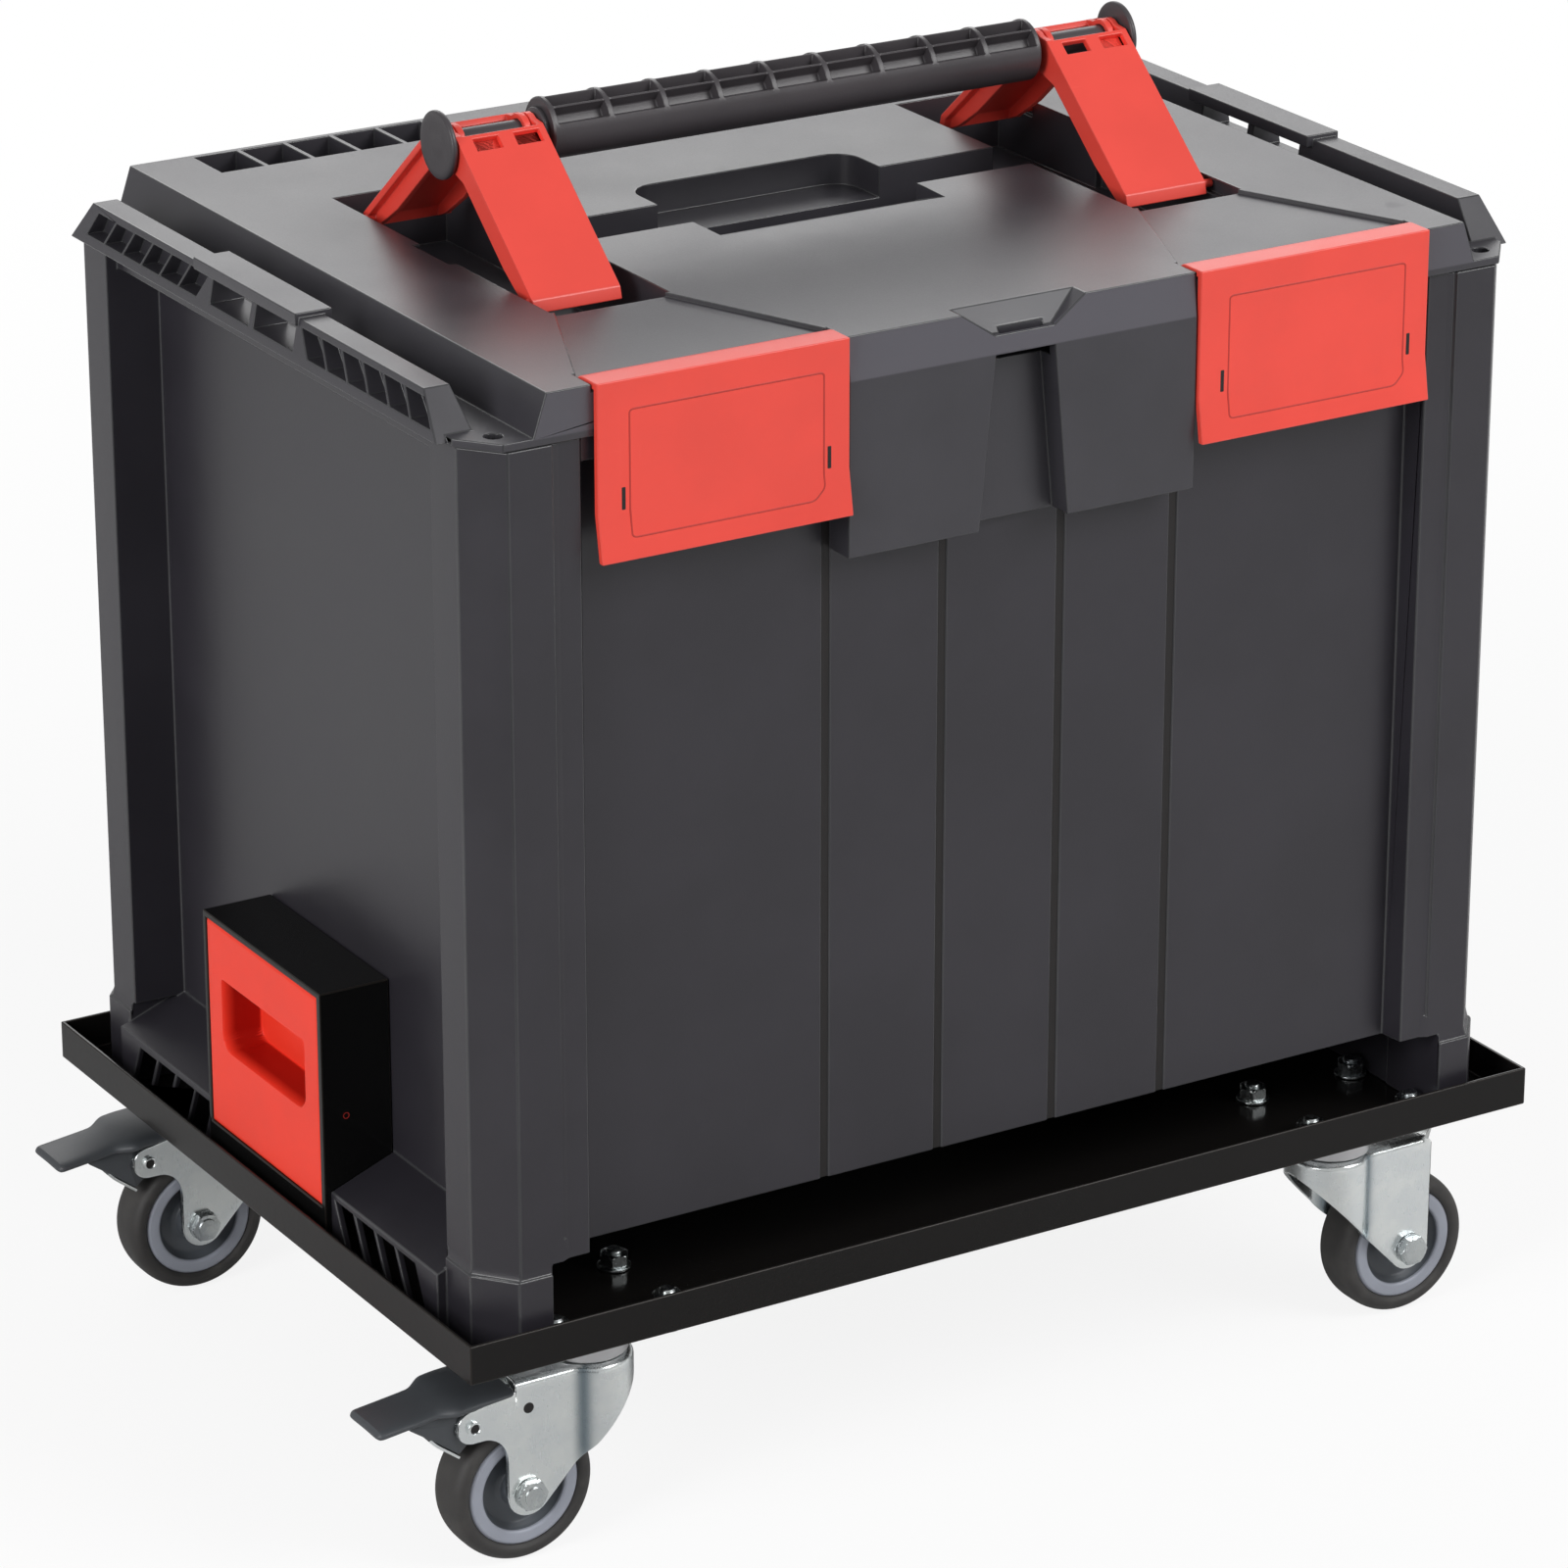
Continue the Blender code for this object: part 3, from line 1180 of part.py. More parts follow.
def build_plate():
    """Castor top plate with its bearing boss, king pin and rivet head."""
    top = CASTOR_HEIGHT - GAP
    wide = BOLT_PITCH_X / 2 + PLATE_MARGIN
    deep = BOLT_PITCH_Y / 2 + PLATE_MARGIN
    shape = bmesh.new()
    block(shape, (-wide, wide), (-deep, deep), (top - PLATE_SHEET, top))
    plate = solid("plate_pattern", shape, ZINC)
    low = top - PLATE_SHEET - BEARING_HEIGHT
    boss = bmesh.new()
    middle = (low + top - PLATE_SHEET / 2) / 2
    rod(boss, "Z", (0.0, 0.0, middle), top - low - PLATE_SHEET / 2, BEARING_RADIUS, 18)
    work(plate, "UNION", boss)
    tip = low - GAP * 2 - CROWN_SHEET - KINGPIN_HEAD_HEIGHT
    pin = bmesh.new()
    rod(pin, "Z", (0.0, 0.0, (low + PLATE_SHEET + tip) / 2), low + PLATE_SHEET - tip, KINGPIN_RADIUS)
    work(plate, "UNION", pin)
    head = bmesh.new()
    rod(head, "Z", (0.0, 0.0, tip + KINGPIN_HEAD_HEIGHT / 2), KINGPIN_HEAD_HEIGHT, KINGPIN_HEAD_RADIUS)
    work(plate, "UNION", head)
    holes = bmesh.new()
    for x, y in bolt_places(0, 0):
        rod(holes, "Z", (x, y, top), PLATE_SHEET * 4, BOLT_RADIUS + RUN, 8)
    work(plate, "DIFFERENCE", holes)
    return settle(plate)


def build_bolt():
    """Hexagon bolt through plate and tray, with its nut on the tray's floor."""
    seat = CASTOR_HEIGHT - GAP - PLATE_SHEET - GAP
    nut = TRAY_FLOOR + GAP
    top = nut + NUT_HEIGHT + BOLT_TAIL
    shape = bmesh.new()
    foot = seat - BOLT_HEAD_HEIGHT / 2
    rod(shape, "Z", (0.0, 0.0, (foot + top) / 2), top - foot, BOLT_RADIUS, 8)
    bolt = solid("bolt_pattern", shape, ZINC)
    ends = bmesh.new()
    rod(ends, "Z", (0.0, 0.0, seat - BOLT_HEAD_HEIGHT / 2), BOLT_HEAD_HEIGHT, BOLT_HEAD_RADIUS, 6)
    rod(ends, "Z", (0.0, 0.0, nut + NUT_HEIGHT / 2), NUT_HEIGHT, BOLT_HEAD_RADIUS, 6)
    work(bolt, "UNION", ends)
    return settle(bolt)


def build_axle():
    """Axle bolt with a hexagon at each end, along Y about its own middle."""
    grip = WHEEL_WIDTH / 2 + FORK_SIDE_GAP + FORK_SHEET + GAP
    shape = bmesh.new()
    rod(shape, "Y", (0.0, 0.0, 0.0), grip * 2 + AXLE_HEAD_HEIGHT, AXLE_RADIUS, 12)
    axle = solid("axle_pattern", shape, ZINC)
    ends = bmesh.new()
    for end in (-1, 1):
        centre = (0.0, end * (grip + AXLE_HEAD_HEIGHT / 2), 0.0)
        rod(ends, "Y", centre, AXLE_HEAD_HEIGHT, AXLE_HEAD_RADIUS, 6)
    work(axle, "UNION", ends)
    return settle(axle)


def build_wheel():
    """Turned core and tyre, along Y about the middle of the wheel."""
    seat = WHEEL_RADIUS - TYRE_BAND
    half = WHEEL_WIDTH / 2
    side = [
        (AXLE_RADIUS + RUN, half),
        (HUB_RADIUS, half),
        (HUB_RADIUS + WEB_HALF / 2, WEB_HALF),
        (seat - WEB_HALF, WEB_HALF),
        (seat - WEB_HALF / 2, half * 0.86),
        (seat - GAP, half * 0.86),
    ]
    shape = bmesh.new()
    turned(shape, "Y", (0.0, 0.0, 0.0), side + [(r, -h) for r, h in reversed(side)], 20)
    core = solid("core_pattern", shape, CORE)
    side = [
        (seat, half * 0.86),
        (seat + TYRE_BAND * 0.35, half),
        (seat + TYRE_BAND * 0.8, half * 0.86),
        (WHEEL_RADIUS, half * 0.42),
    ]
    shape = bmesh.new()
    turned(shape, "Y", (0.0, 0.0, 0.0), side + [(r, -h) for r, h in reversed(side)], 28)
    tyre = solid("tyre_pattern", shape, RUBBER)
    meshes = settle(core), settle(tyre)
    for mesh in meshes:
        round_edges(mesh)
    return meshes


def build_pedal():
    """Brake pedal between the fork's ears, about its own pivot, with its pin."""
    inner = WHEEL_WIDTH / 2 + FORK_SIDE_GAP
    arm = [
        (PEDAL_REACH * 0.45, PEDAL_RISE * 0.35),
        (PEDAL_REACH * 0.45, PEDAL_RISE * 0.35 + PEDAL_SHEET * 0.6),
        (-EAR_RADIUS * 0.4, EAR_RADIUS * 0.9),
    ]
    arm += circle(0.0, 0.0, EAR_RADIUS * 0.95, 6, math.radians(150), math.radians(160))
    shape = bmesh.new()
    slab(shape, "Y", (-inner + RUN, inner - RUN), arm)
    pedal = solid("pedal_pattern", shape, SLATE)
    tail = PEDAL_NECK + EAR_STEP * 0.75
    tread = [
        (-PEDAL_TAIL, tail),
        (0.0, PEDAL_NECK),
        (PEDAL_NECK * 1.1, PEDAL_RISE * 0.30),
        (PEDAL_REACH * 0.6, PEDAL_RISE * 0.30),
        (PEDAL_REACH, PEDAL_RISE - PEDAL_SHEET * 0.8),
        (PEDAL_REACH, PEDAL_RISE),
        (PEDAL_REACH * 0.6, PEDAL_RISE * 0.30 + PEDAL_SHEET),
        (PEDAL_NECK, PEDAL_RISE * 0.30 + PEDAL_SHEET),
        (-PEDAL_NECK * 0.2, PEDAL_NECK + PEDAL_SHEET * 0.75),
        (-PEDAL_TAIL, tail + PEDAL_SHEET * 0.75),
    ]
    step = bmesh.new()
    slab(step, "Y", (-PEDAL_WIDTH / 2, PEDAL_WIDTH / 2), tread)
    work(pedal, "UNION", step)
    pin = bmesh.new()
    rod(pin, "Y", (0.0, 0.0, 0.0), (inner + FORK_SHEET) * 2, PEDAL_PIN_RADIUS, 10)
    work(pedal, "UNION", pin)
    return settle(pedal)


def build_castors():
    """Four swivel castors bolted under the tray, the left pair with brake pedals."""
    plate, bolt, axle, pedal = build_plate(), build_bolt(), build_axle(), build_pedal()
    core, tyre = build_wheel()
    forks = {True: build_fork(True), False: build_fork(False)}
    for corner, (side, end) in CORNERS.items():
        braked = side < 0
        facing = Matrix.Rotation(math.pi if braked else 0.0, 4, "Z")
        swivel = Matrix.Translation((side * CASTOR_X, end * CASTOR_Y, 0.0)) @ facing
        hub = swivel @ Matrix.Translation((CASTOR_TRAIL, 0.0, WHEEL_RADIUS))
        stamp(f"castor_plate_{corner}", plate, ZINC, swivel)
        stamp(f"castor_fork_{corner}", forks[braked], ZINC, swivel)
        stamp(f"wheel_core_{corner}", core, CORE, hub)
        stamp(f"tyre_{corner}", tyre, RUBBER, hub)
        stamp(f"axle_{corner}", axle, ZINC, hub)
        for number, (x, y) in enumerate(bolt_places(side, end), 1):
            stamp(f"castor_bolt_{corner}_{number}", bolt, ZINC, Matrix.Translation((x, y, 0.0)))
        if braked:
            ear = swivel @ Matrix.Translation((EAR_X, 0.0, EAR_Z))
            stamp(f"brake_pedal_{corner}", pedal, SLATE, ear)


build_body()
build_lid()
build_pins()
build_latches()
build_handle()
build_locks()
build_tray()
build_castors()
bpy.context.view_layer.update()
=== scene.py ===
"""Looks of a stacking tool case that stands on a four-castor dolly.

Metres, +Z up, and the front with its two latches faces -Y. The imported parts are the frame:
every piece made here rides on one of its bodies, and most pieces stand for one of its nodes.
"""

import json
import logging
import math
from collections.abc import Callable
from dataclasses import dataclass
from enum import Enum
from typing import Any

import bmesh
import bpy
import numpy as np
from mathutils import Matrix, Vector

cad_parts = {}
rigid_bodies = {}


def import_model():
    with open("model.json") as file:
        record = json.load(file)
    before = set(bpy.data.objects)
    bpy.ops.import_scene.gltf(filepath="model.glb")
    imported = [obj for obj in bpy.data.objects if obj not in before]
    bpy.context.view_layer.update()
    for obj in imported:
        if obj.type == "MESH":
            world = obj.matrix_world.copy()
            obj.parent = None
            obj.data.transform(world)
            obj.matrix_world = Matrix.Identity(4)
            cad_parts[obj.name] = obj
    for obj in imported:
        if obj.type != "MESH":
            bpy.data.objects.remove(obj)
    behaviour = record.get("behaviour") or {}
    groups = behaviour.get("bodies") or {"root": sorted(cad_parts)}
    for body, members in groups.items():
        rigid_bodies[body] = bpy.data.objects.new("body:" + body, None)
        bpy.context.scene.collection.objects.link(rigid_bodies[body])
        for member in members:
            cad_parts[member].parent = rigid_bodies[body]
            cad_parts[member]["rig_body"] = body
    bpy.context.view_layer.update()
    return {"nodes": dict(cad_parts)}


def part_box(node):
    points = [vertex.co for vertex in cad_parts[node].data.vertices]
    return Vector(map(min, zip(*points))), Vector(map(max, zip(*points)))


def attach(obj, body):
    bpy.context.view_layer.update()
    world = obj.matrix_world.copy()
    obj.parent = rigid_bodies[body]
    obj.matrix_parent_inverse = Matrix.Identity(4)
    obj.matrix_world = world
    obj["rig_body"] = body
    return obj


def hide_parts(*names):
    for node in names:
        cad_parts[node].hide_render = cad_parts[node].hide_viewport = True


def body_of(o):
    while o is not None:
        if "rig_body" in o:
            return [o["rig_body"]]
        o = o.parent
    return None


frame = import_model()
CASE_X = (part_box("dolly_tray")[0].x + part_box("dolly_tray")[1].x) / 2
LOG = logging.getLogger("tool_case")
MM = 0.001
WELD = 2e-6
HALF_TURN = Matrix.Rotation(math.pi, 4, "Z")
OUTWARDS = {"left": -1.0, "right": 1.0}

Triple = tuple[float, float, float]
Colour = Triple


# Shader sheets


class Wire:
    """One output socket of a node; arithmetic on it adds Math nodes to its sheet."""

    def __init__(self, sheet: "Sheet", socket: bpy.types.NodeSocket) -> None:
        """Keeps the sheet and the socket."""
        self.sheet = sheet
        self.socket = socket

    def _math(self, operation: str, first: Any, second: Any) -> "Wire":
        """Adds one Math node of two inputs."""
        return self.sheet.add("ShaderNodeMath", {"operation": operation}, {0: first, 1: second})

    def __add__(self, other: "Wire | float") -> "Wire":
        """self + other."""
        return self._math("ADD", self, other)

    __radd__ = __add__

    def __sub__(self, other: "Wire | float") -> "Wire":
        """self - other."""
        return self._math("SUBTRACT", self, other)

    def __rsub__(self, other: float) -> "Wire":
        """other - self."""
        return self._math("SUBTRACT", other, self)

    def __mul__(self, other: "Wire | float") -> "Wire":
        """self * other."""
        return self._math("MULTIPLY", self, other)

    __rmul__ = __mul__

    def most(self, other: "Wire | float") -> "Wire":
        """The larger of the two."""
        return self._math("MAXIMUM", self, other)

    def ramp(self, low: float, high: float) -> "Wire":
        """0 below low, 1 above high, with a smooth step between.

        Args:
            low: value that gives 0.
            high: value that gives 1.

        Returns:
            The stepped wire.
        """
        settings = {"interpolation_type": "SMOOTHSTEP"}
        return self.sheet.add("ShaderNodeMapRange", settings, {0: self, 1: low, 2: high})


class Sheet:
    """The node sheet of one material or of the world."""

    def __init__(self, tree: bpy.types.NodeTree) -> None:
        """Empties the tree and keeps it."""
        self.tree = tree
        tree.nodes.clear()

    def add(self, kind: str, settings: dict | None = None, sockets: dict | None = None, out: Any = 0) -> Wire:
        """Adds one node.

        Args:
            kind: the node's type.
            settings: the node's own settings, set first.
            sockets: values or wires by socket name or number.
            out: the output that is wanted.

        Returns:
            That output, or the node's first input where it has no output.
        """
        node = self.tree.nodes.new(kind)
        for name, value in (settings or {}).items():
            setattr(node, name, value)
        for key, value in (sockets or {}).items():
            if isinstance(value, Wire):
                self.tree.links.new(value.socket, node.inputs[key])
            else:
                node.inputs[key].default_value = value
        return Wire(self, node.outputs[out] if len(node.outputs) else node.inputs[0])

    def place(self, stretch: Triple = (1.0, 1.0, 1.0)) -> Wire:
        """Object coordinates, stretched along the three axes."""
        where = self.add("ShaderNodeTexCoord", out="Object")
        if stretch == (1.0, 1.0, 1.0):
            return where
        return self.add("ShaderNodeMapping", None, {"Vector": where, "Scale": stretch})

    def axis(self, where: Wire, name: str) -> Wire:
        """One coordinate of a place."""
        return self.add("ShaderNodeSeparateXYZ", None, {0: where}, name)

    def noise(self, where: Wire, size: float, detail: float = 2.0, rough: float = 0.5) -> Wire:
        """Cloudy values about 0.5, with grains of the given size in metres."""
        sockets = {"Vector": where, "Scale": 1.0 / size, "Detail": detail, "Roughness": rough}
        return self.add("ShaderNodeTexNoise", None, sockets)

    def blend(self, share: Wire, first: Wire | Colour, second: Wire | Colour) -> Wire:
        """Colour that goes from first to second with share."""
        ends = [end if isinstance(end, Wire) else (*end, 1.0) for end in (first, second)]
        return self.add("ShaderNodeMix", {"data_type": "RGBA"}, {0: share, 6: ends[0], 7: ends[1]}, 2)

    def mixed(self, share: Wire, first: Wire, second: Wire) -> Wire:
        """Shader that goes from first to second with share."""
        return self.add("ShaderNodeMixShader", None, {0: share, 1: first, 2: second})

    def ray(self, kind: str) -> Wire:
        """1 for rays of one kind, 0 for others."""
        return self.add("ShaderNodeLightPath", out=kind)

    def principled(self, sockets: dict) -> Wire:
        """Principled shader with the given values and wires."""
        return self.add("ShaderNodeBsdfPrincipled", None, sockets)

    def bump(self, height: Wire, depth: float, strength: float) -> Wire:
        """Normal that is bent by height."""
        return self.add("ShaderNodeBump", None, {"Height": height, "Distance": depth, "Strength": strength})

    def close(self, surface: Wire) -> None:
        """Ends the sheet in a material output."""
        self.add("ShaderNodeOutputMaterial", None, {"Surface": surface})


def toned(colour: Colour, factor: float) -> Colour:
    """The colour times a factor, held at 1."""
    red, green, blue = (min(1.0, part * factor) for part in colour)
    return red, green, blue


# Finishes


@dataclass(frozen=True)
class Finish:
    """One surface finish, made into a material on its first use."""

    name: str
    colour: Colour
    roughness: float
    # Darker colour painted as shade where a piece's shade attribute marks a recess or a bend; None for none.
    painted_shade: Colour | None = None

    def shaded(self, sheet: Sheet, base: Wire) -> Wire:
        """The colour, mixed with the painted shade colour where the piece's "shade" attribute says so."""
        if self.painted_shade is None:
            return base
        share = sheet.add("ShaderNodeAttribute", {"attribute_name": "shade"}, None, "Fac")
        return sheet.blend(share, base, self.painted_shade)

    def material(self) -> bpy.types.Material:
        """The finish as a Blender material, made once."""
        made = bpy.data.materials.get(self.name)
        if made is None:
            made = bpy.data.materials.new(self.name)
            made.use_nodes = True
            sheet = Sheet(made.node_tree)
            sheet.close(self.surface(sheet))
        return made

    def surface(self, sheet: Sheet) -> Wire:
        """The shader; each kind of finish has its own."""
        raise NotImplementedError


@dataclass(frozen=True)
class MouldedPlastic(Finish):
    """Injection-moulded plastic with an eroded grain, faint flow clouds and fine handling marks."""

    grain: float = 0.0006
    relief: float = 0.35
    clouds: float = 0.10
    marks: float = 0.5
    specular: float = 0.5
    cloud_size: float = 0.07
    patch_size: float = 0.045
    scratch: float = 0.0016
    # Painted sheen: a paler stripe above this height and in front of the next plane; 0 for none.
    painted_band: float = 0.0
    painted_band_front: float = 0.0
    painted_band_edge: float = 0.5 * MM

    def surface(self, sheet: Sheet) -> Wire:
        """Grain bends the normal; clouds shift colour and gloss; marks are short pale scratches."""
        where = sheet.place()
        fine = sheet.noise(where, self.grain, 2.0, 0.6)
        broad = sheet.noise(where, self.cloud_size, 4.0, 0.55)
        along = sheet.noise(sheet.place((1.0, 1.0, 0.05)), self.scratch, 1.0)
        across = sheet.noise(sheet.place((0.06, 0.06, 1.0)), self.scratch, 1.0)
        patch = sheet.noise(where, self.patch_size, 2.0).ramp(0.55, 0.72)
        marks = along.ramp(0.70, 0.78).most(across.ramp(0.71, 0.79)) * patch * self.marks
        dark, pale = toned(self.colour, 1.0 - self.clouds), toned(self.colour, 1.0 + self.clouds)
        base = sheet.blend(broad.ramp(0.3, 0.7), dark, pale)
        base = sheet.blend(marks * 0.35, base, toned(self.colour, 1.9))
        # Painted sheen: the colour turns paler above the given height and in front of the given plane, for
        # the gloss on the lid apron's upward-tilted upper part.
        if self.painted_band:
            edge = self.painted_band_edge
            upper = sheet.axis(where, "Z").ramp(self.painted_band - edge, self.painted_band + edge)
            behind = sheet.axis(where, "Y").ramp(self.painted_band_front - edge, self.painted_band_front + edge)
            base = sheet.blend(upper * (1.0 - behind), base, toned(self.colour, 2.3))
        rough = (broad - 0.5) * 0.14 + (fine - 0.5) * 0.10 + marks * 0.12 + self.roughness
        sockets = {
            "Base Color": self.shaded(sheet, base),
            "Roughness": rough,
            "Normal": sheet.bump(fine - marks * 0.25, 0.0002, self.relief),
            "Specular IOR Level": self.specular,
            "IOR": 1.5,
        }
        return sheet.principled(sockets)


@dataclass(frozen=True)
class PowderCoat(Finish):
    """Glossy powder coat with a slight orange-peel wave, pin dots and dust in patches."""

    peel: float = 0.0035
    dust_size: float = 0.0009
    patch_size: float = 0.09
    specular: float = 0.18

    def surface(self, sheet: Sheet) -> Wire:
        """Two waves of peel bend the normal; dust lifts colour and dulls the gloss."""
        where = sheet.place()
        wave = sheet.noise(where, self.peel, 1.0)
        small = sheet.noise(where, self.peel / 5, 2.0)
        patch = sheet.noise(where, self.patch_size, 3.0).ramp(0.45, 0.75)
        dust = sheet.noise(where, self.dust_size, 3.0, 0.7).ramp(0.58, 0.75) * patch
        base = sheet.blend(dust * 0.5, self.colour, toned(self.colour, 3.0))
        rough = (small - 0.5) * 0.06 + dust * 0.18 + self.roughness
        sockets = {
            "Base Color": base,
            "Roughness": rough,
            "Normal": sheet.bump(wave + small * 0.35, 0.0003, 0.12),
            "Specular IOR Level": self.specular,
            "Coat Weight": 0.08,
            "Coat Roughness": 0.08,
        }
        return sheet.principled(sockets)


@dataclass(frozen=True)
class PlatedSteel(Finish):
    """Zinc-plated steel: faint crystal spangle, drawing lines and a cool chromate tint."""

    tint: Colour = (0.80, 0.84, 0.85)
    spangle: float = 0.004

    def surface(self, sheet: Sheet) -> Wire:
        """Spangle and tint shift the colour; drawing lines and spangle shift the gloss."""
        where = sheet.place()
        spread = {"Vector": where, "Scale": 1.0 / self.spangle}
        cells = sheet.add("ShaderNodeTexVoronoi", None, spread, "Color")
        crystal = sheet.add("ShaderNodeSeparateColor", None, {0: cells})
        cloud = sheet.noise(where, 0.02, 3.0)
        lines = sheet.noise(sheet.place((1.0, 1.0, 0.04)), 0.0005, 2.0)
        spots = sheet.noise(where, 0.0022, 3.0, 0.7).ramp(0.66, 0.78)
        base = sheet.blend((cloud.ramp(0.35, 0.65) * 0.7 + crystal * 0.3), self.colour, self.tint)
        rough = (crystal - 0.5) * 0.07 + (lines - 0.5) * 0.12 + spots * 0.2 + self.roughness
        sockets = {
            "Base Color": self.shaded(sheet, base),
            "Roughness": rough,
            "Metallic": 1.0,
            "Normal": sheet.bump(lines * 0.5 + cloud, 0.0002, 0.10),
        }
        return sheet.principled(sockets)


@dataclass(frozen=True)
class TyreRubber(Finish):
    """Dull grey rubber with a fine tooth and floor dust rubbed into it."""

    dust: Colour = (0.10, 0.095, 0.088)

    def surface(self, sheet: Sheet) -> Wire:
        """Dust lies in clouds; the tooth bends the normal."""
        where = sheet.place()
        tooth = sheet.noise(where, 0.0008, 3.0, 0.65)
        cloud = sheet.noise(where, 0.012, 4.0).ramp(0.40, 0.75)
        base = sheet.blend(cloud * 0.35 + (tooth - 0.5) * 0.2, self.colour, self.dust)
        sockets = {
            "Base Color": base,
            "Roughness": cloud * 0.12 + (tooth - 0.5) * 0.2 + self.roughness,
            "Normal": sheet.bump(tooth, 0.0003, 0.30),
        }
        return sheet.principled(sockets)


@dataclass(frozen=True)
class PaleFloor(Finish):
    """Pale studio floor that melts into the white behind it and keeps a soft shadow."""

    white: float = 0.87
    shade_tone: Colour = (0.12, 0.12, 0.12)
    painted_glow: float = 0.2

    def surface(self, sheet: Sheet) -> Wire:
        """A matt floor, pale but for a painted shade in front of the left end, seen by all rays but the
        camera's; the camera sees it fade into white.

        Gloss rays see a painted glow, white, on the floor behind the object's left end.
        """
        where = sheet.place()
        depth, left = sheet.axis(where, "Y"), 1.0 - sheet.axis(where, "X").ramp(-0.5, -0.2)
        # Painted shade on the floor in front of the left end, for rays other than the camera's.
        tone = sheet.blend((1.0 - depth.ramp(-0.9, -0.3)) * left, self.colour, self.shade_tone)
        away = sheet.add("ShaderNodeVectorMath", {"operation": "LENGTH"}, {0: where}, "Value")
        white = away.ramp(0.7, 2.2) * (1.0 - self.white) + self.white
        plain = sheet.blend(sheet.noise(where, 0.01, 3.0), self.colour, toned(self.colour, 1.03))
        matt, lit = (
            sheet.add("ShaderNodeBsdfDiffuse", None, {"Color": colour, "Roughness": self.roughness})
            for colour in (plain, tone)
        )
        glow = sheet.add("ShaderNodeEmission", None, {"Color": (1.0, 1.0, 1.0, 1.0), "Strength": 1.0})
        # Painted glow: gloss rays see white light from the floor behind the left end, a painted reflection on
        # the object.
        lit = sheet.mixed(sheet.ray("Is Glossy Ray") * left * depth.ramp(0.0, 0.4) * self.painted_glow, lit, glow)
        return sheet.mixed(sheet.ray("Is Camera Ray"), lit, sheet.mixed(white, matt, glow))


class Look(Enum):
    """The finishes of this object."""

    CASE = MouldedPlastic("case_black", (0.026, 0.0240, 0.0305), 0.36, grain=0.0007, relief=0.22)
    # Paler and glossier than the case's plastic: partly edge wear, partly a painted highlight on the rounded
    # edges.
    CASE_EDGE = MouldedPlastic("case_black_edge", (0.050, 0.050, 0.054), 0.20, relief=0.06)
    # The tub's plastic painted lighter over the whole lid as painted light, with a paler painted sheen on the
    # apron's upper part above 561.3 mm.
    LID = MouldedPlastic(
        "lid_black",
        (0.042, 0.0400, 0.0475),
        0.36,
        grain=0.0007,
        relief=0.22,
        painted_band=561.3 * MM,
        painted_band_front=-205.8 * MM,
    )
    GRIP = MouldedPlastic("grip_black", (0.056, 0.050, 0.055), 0.36, grain=0.0009, relief=0.30)
    RED = MouldedPlastic("signal_red", (0.90, 0.072, 0.050), 0.38, relief=0.12, clouds=0.04)
    # A brighter, more saturated copy of the latches' red, painted light for the lit lock end; its darker
    # colour paints shade into the scoop.
    RED_PULL = MouldedPlastic(
        "signal_red_pull",
        (0.97, 0.052, 0.026),
        0.36,
        painted_shade=(0.33, 0.004, 0.002),
        relief=0.12,
        clouds=0.04,
        specular=0.22,
    )
    # Paler and glossier than the red: partly edge wear, partly a painted highlight on the rounded edges.
    RED_EDGE = MouldedPlastic("signal_red_edge", (0.87, 0.082, 0.060), 0.32, relief=0.06, clouds=0.04)
    # Darker red as painted shade: the latches' embossed frame lines and the red seen in the lock's sight
    # hole.
    RED_SHADE = MouldedPlastic("signal_red_shade", (0.50, 0.030, 0.020), 0.45, relief=0.10, clouds=0.04)
    # Painted shade: near-black pieces laid where slots, grooves, bores and holes would be dark inside.
    RECESS_SHADE = MouldedPlastic("slot_dark", (0.008, 0.006, 0.006), 0.6, relief=0.2)
    LOCK_BOX = PowderCoat("lock_gloss", (0.006, 0.006, 0.006), 0.16)
    TRAY = PowderCoat("tray_gloss", (0.008, 0.0072, 0.0068), 0.17)
    # Paler than the gloss coat: partly edge wear, partly a painted highlight on the rounded edges of tray and
    # lock boxes.
    TRAY_EDGE = PowderCoat("tray_gloss_edge", (0.020, 0.017, 0.015), 0.20)
    ZINC = PlatedSteel("zinc_plate", (0.87, 0.90, 0.885), 0.20)
    # Its darker colour paints shade along the fork's bend, where the bend's reflection falls dark.
    FORK = PlatedSteel("zinc_pressing", (0.90, 0.93, 0.915), 0.24, painted_shade=(0.22, 0.27, 0.30))
    NUT = PlatedSteel("zinc_fastener", (0.62, 0.65, 0.64), 0.26, tint=(0.48, 0.51, 0.53))
    PIN = PlatedSteel("pin_steel", (0.55, 0.55, 0.56), 0.30, tint=(0.46, 0.47, 0.50))
    CORE = MouldedPlastic("core_slate", (0.088, 0.098, 0.112), 0.40, relief=0.15)
    RING = MouldedPlastic("ring_grey", (0.35, 0.37, 0.43), 0.40, relief=0.10)
    TYRE = TyreRubber("tyre_grey", (0.036, 0.034, 0.033), 0.58)
    PEDAL = MouldedPlastic("pedal_slate", (0.062, 0.068, 0.076), 0.44, grain=0.0009, relief=0.30)
    FLOOR = PaleFloor("studio_floor", (0.84, 0.84, 0.84), 0.8)

    def material(self) -> bpy.types.Material:
        """The finish as a Blender material."""
        return self.value.material()


# Surfaces


class Axis(Enum):
    """Axis of a turned shape, as the order that puts (across, across, along) into x, y, z."""

    X = (2, 0, 1)
    Y = (1, 2, 0)
    Z = (0, 1, 2)


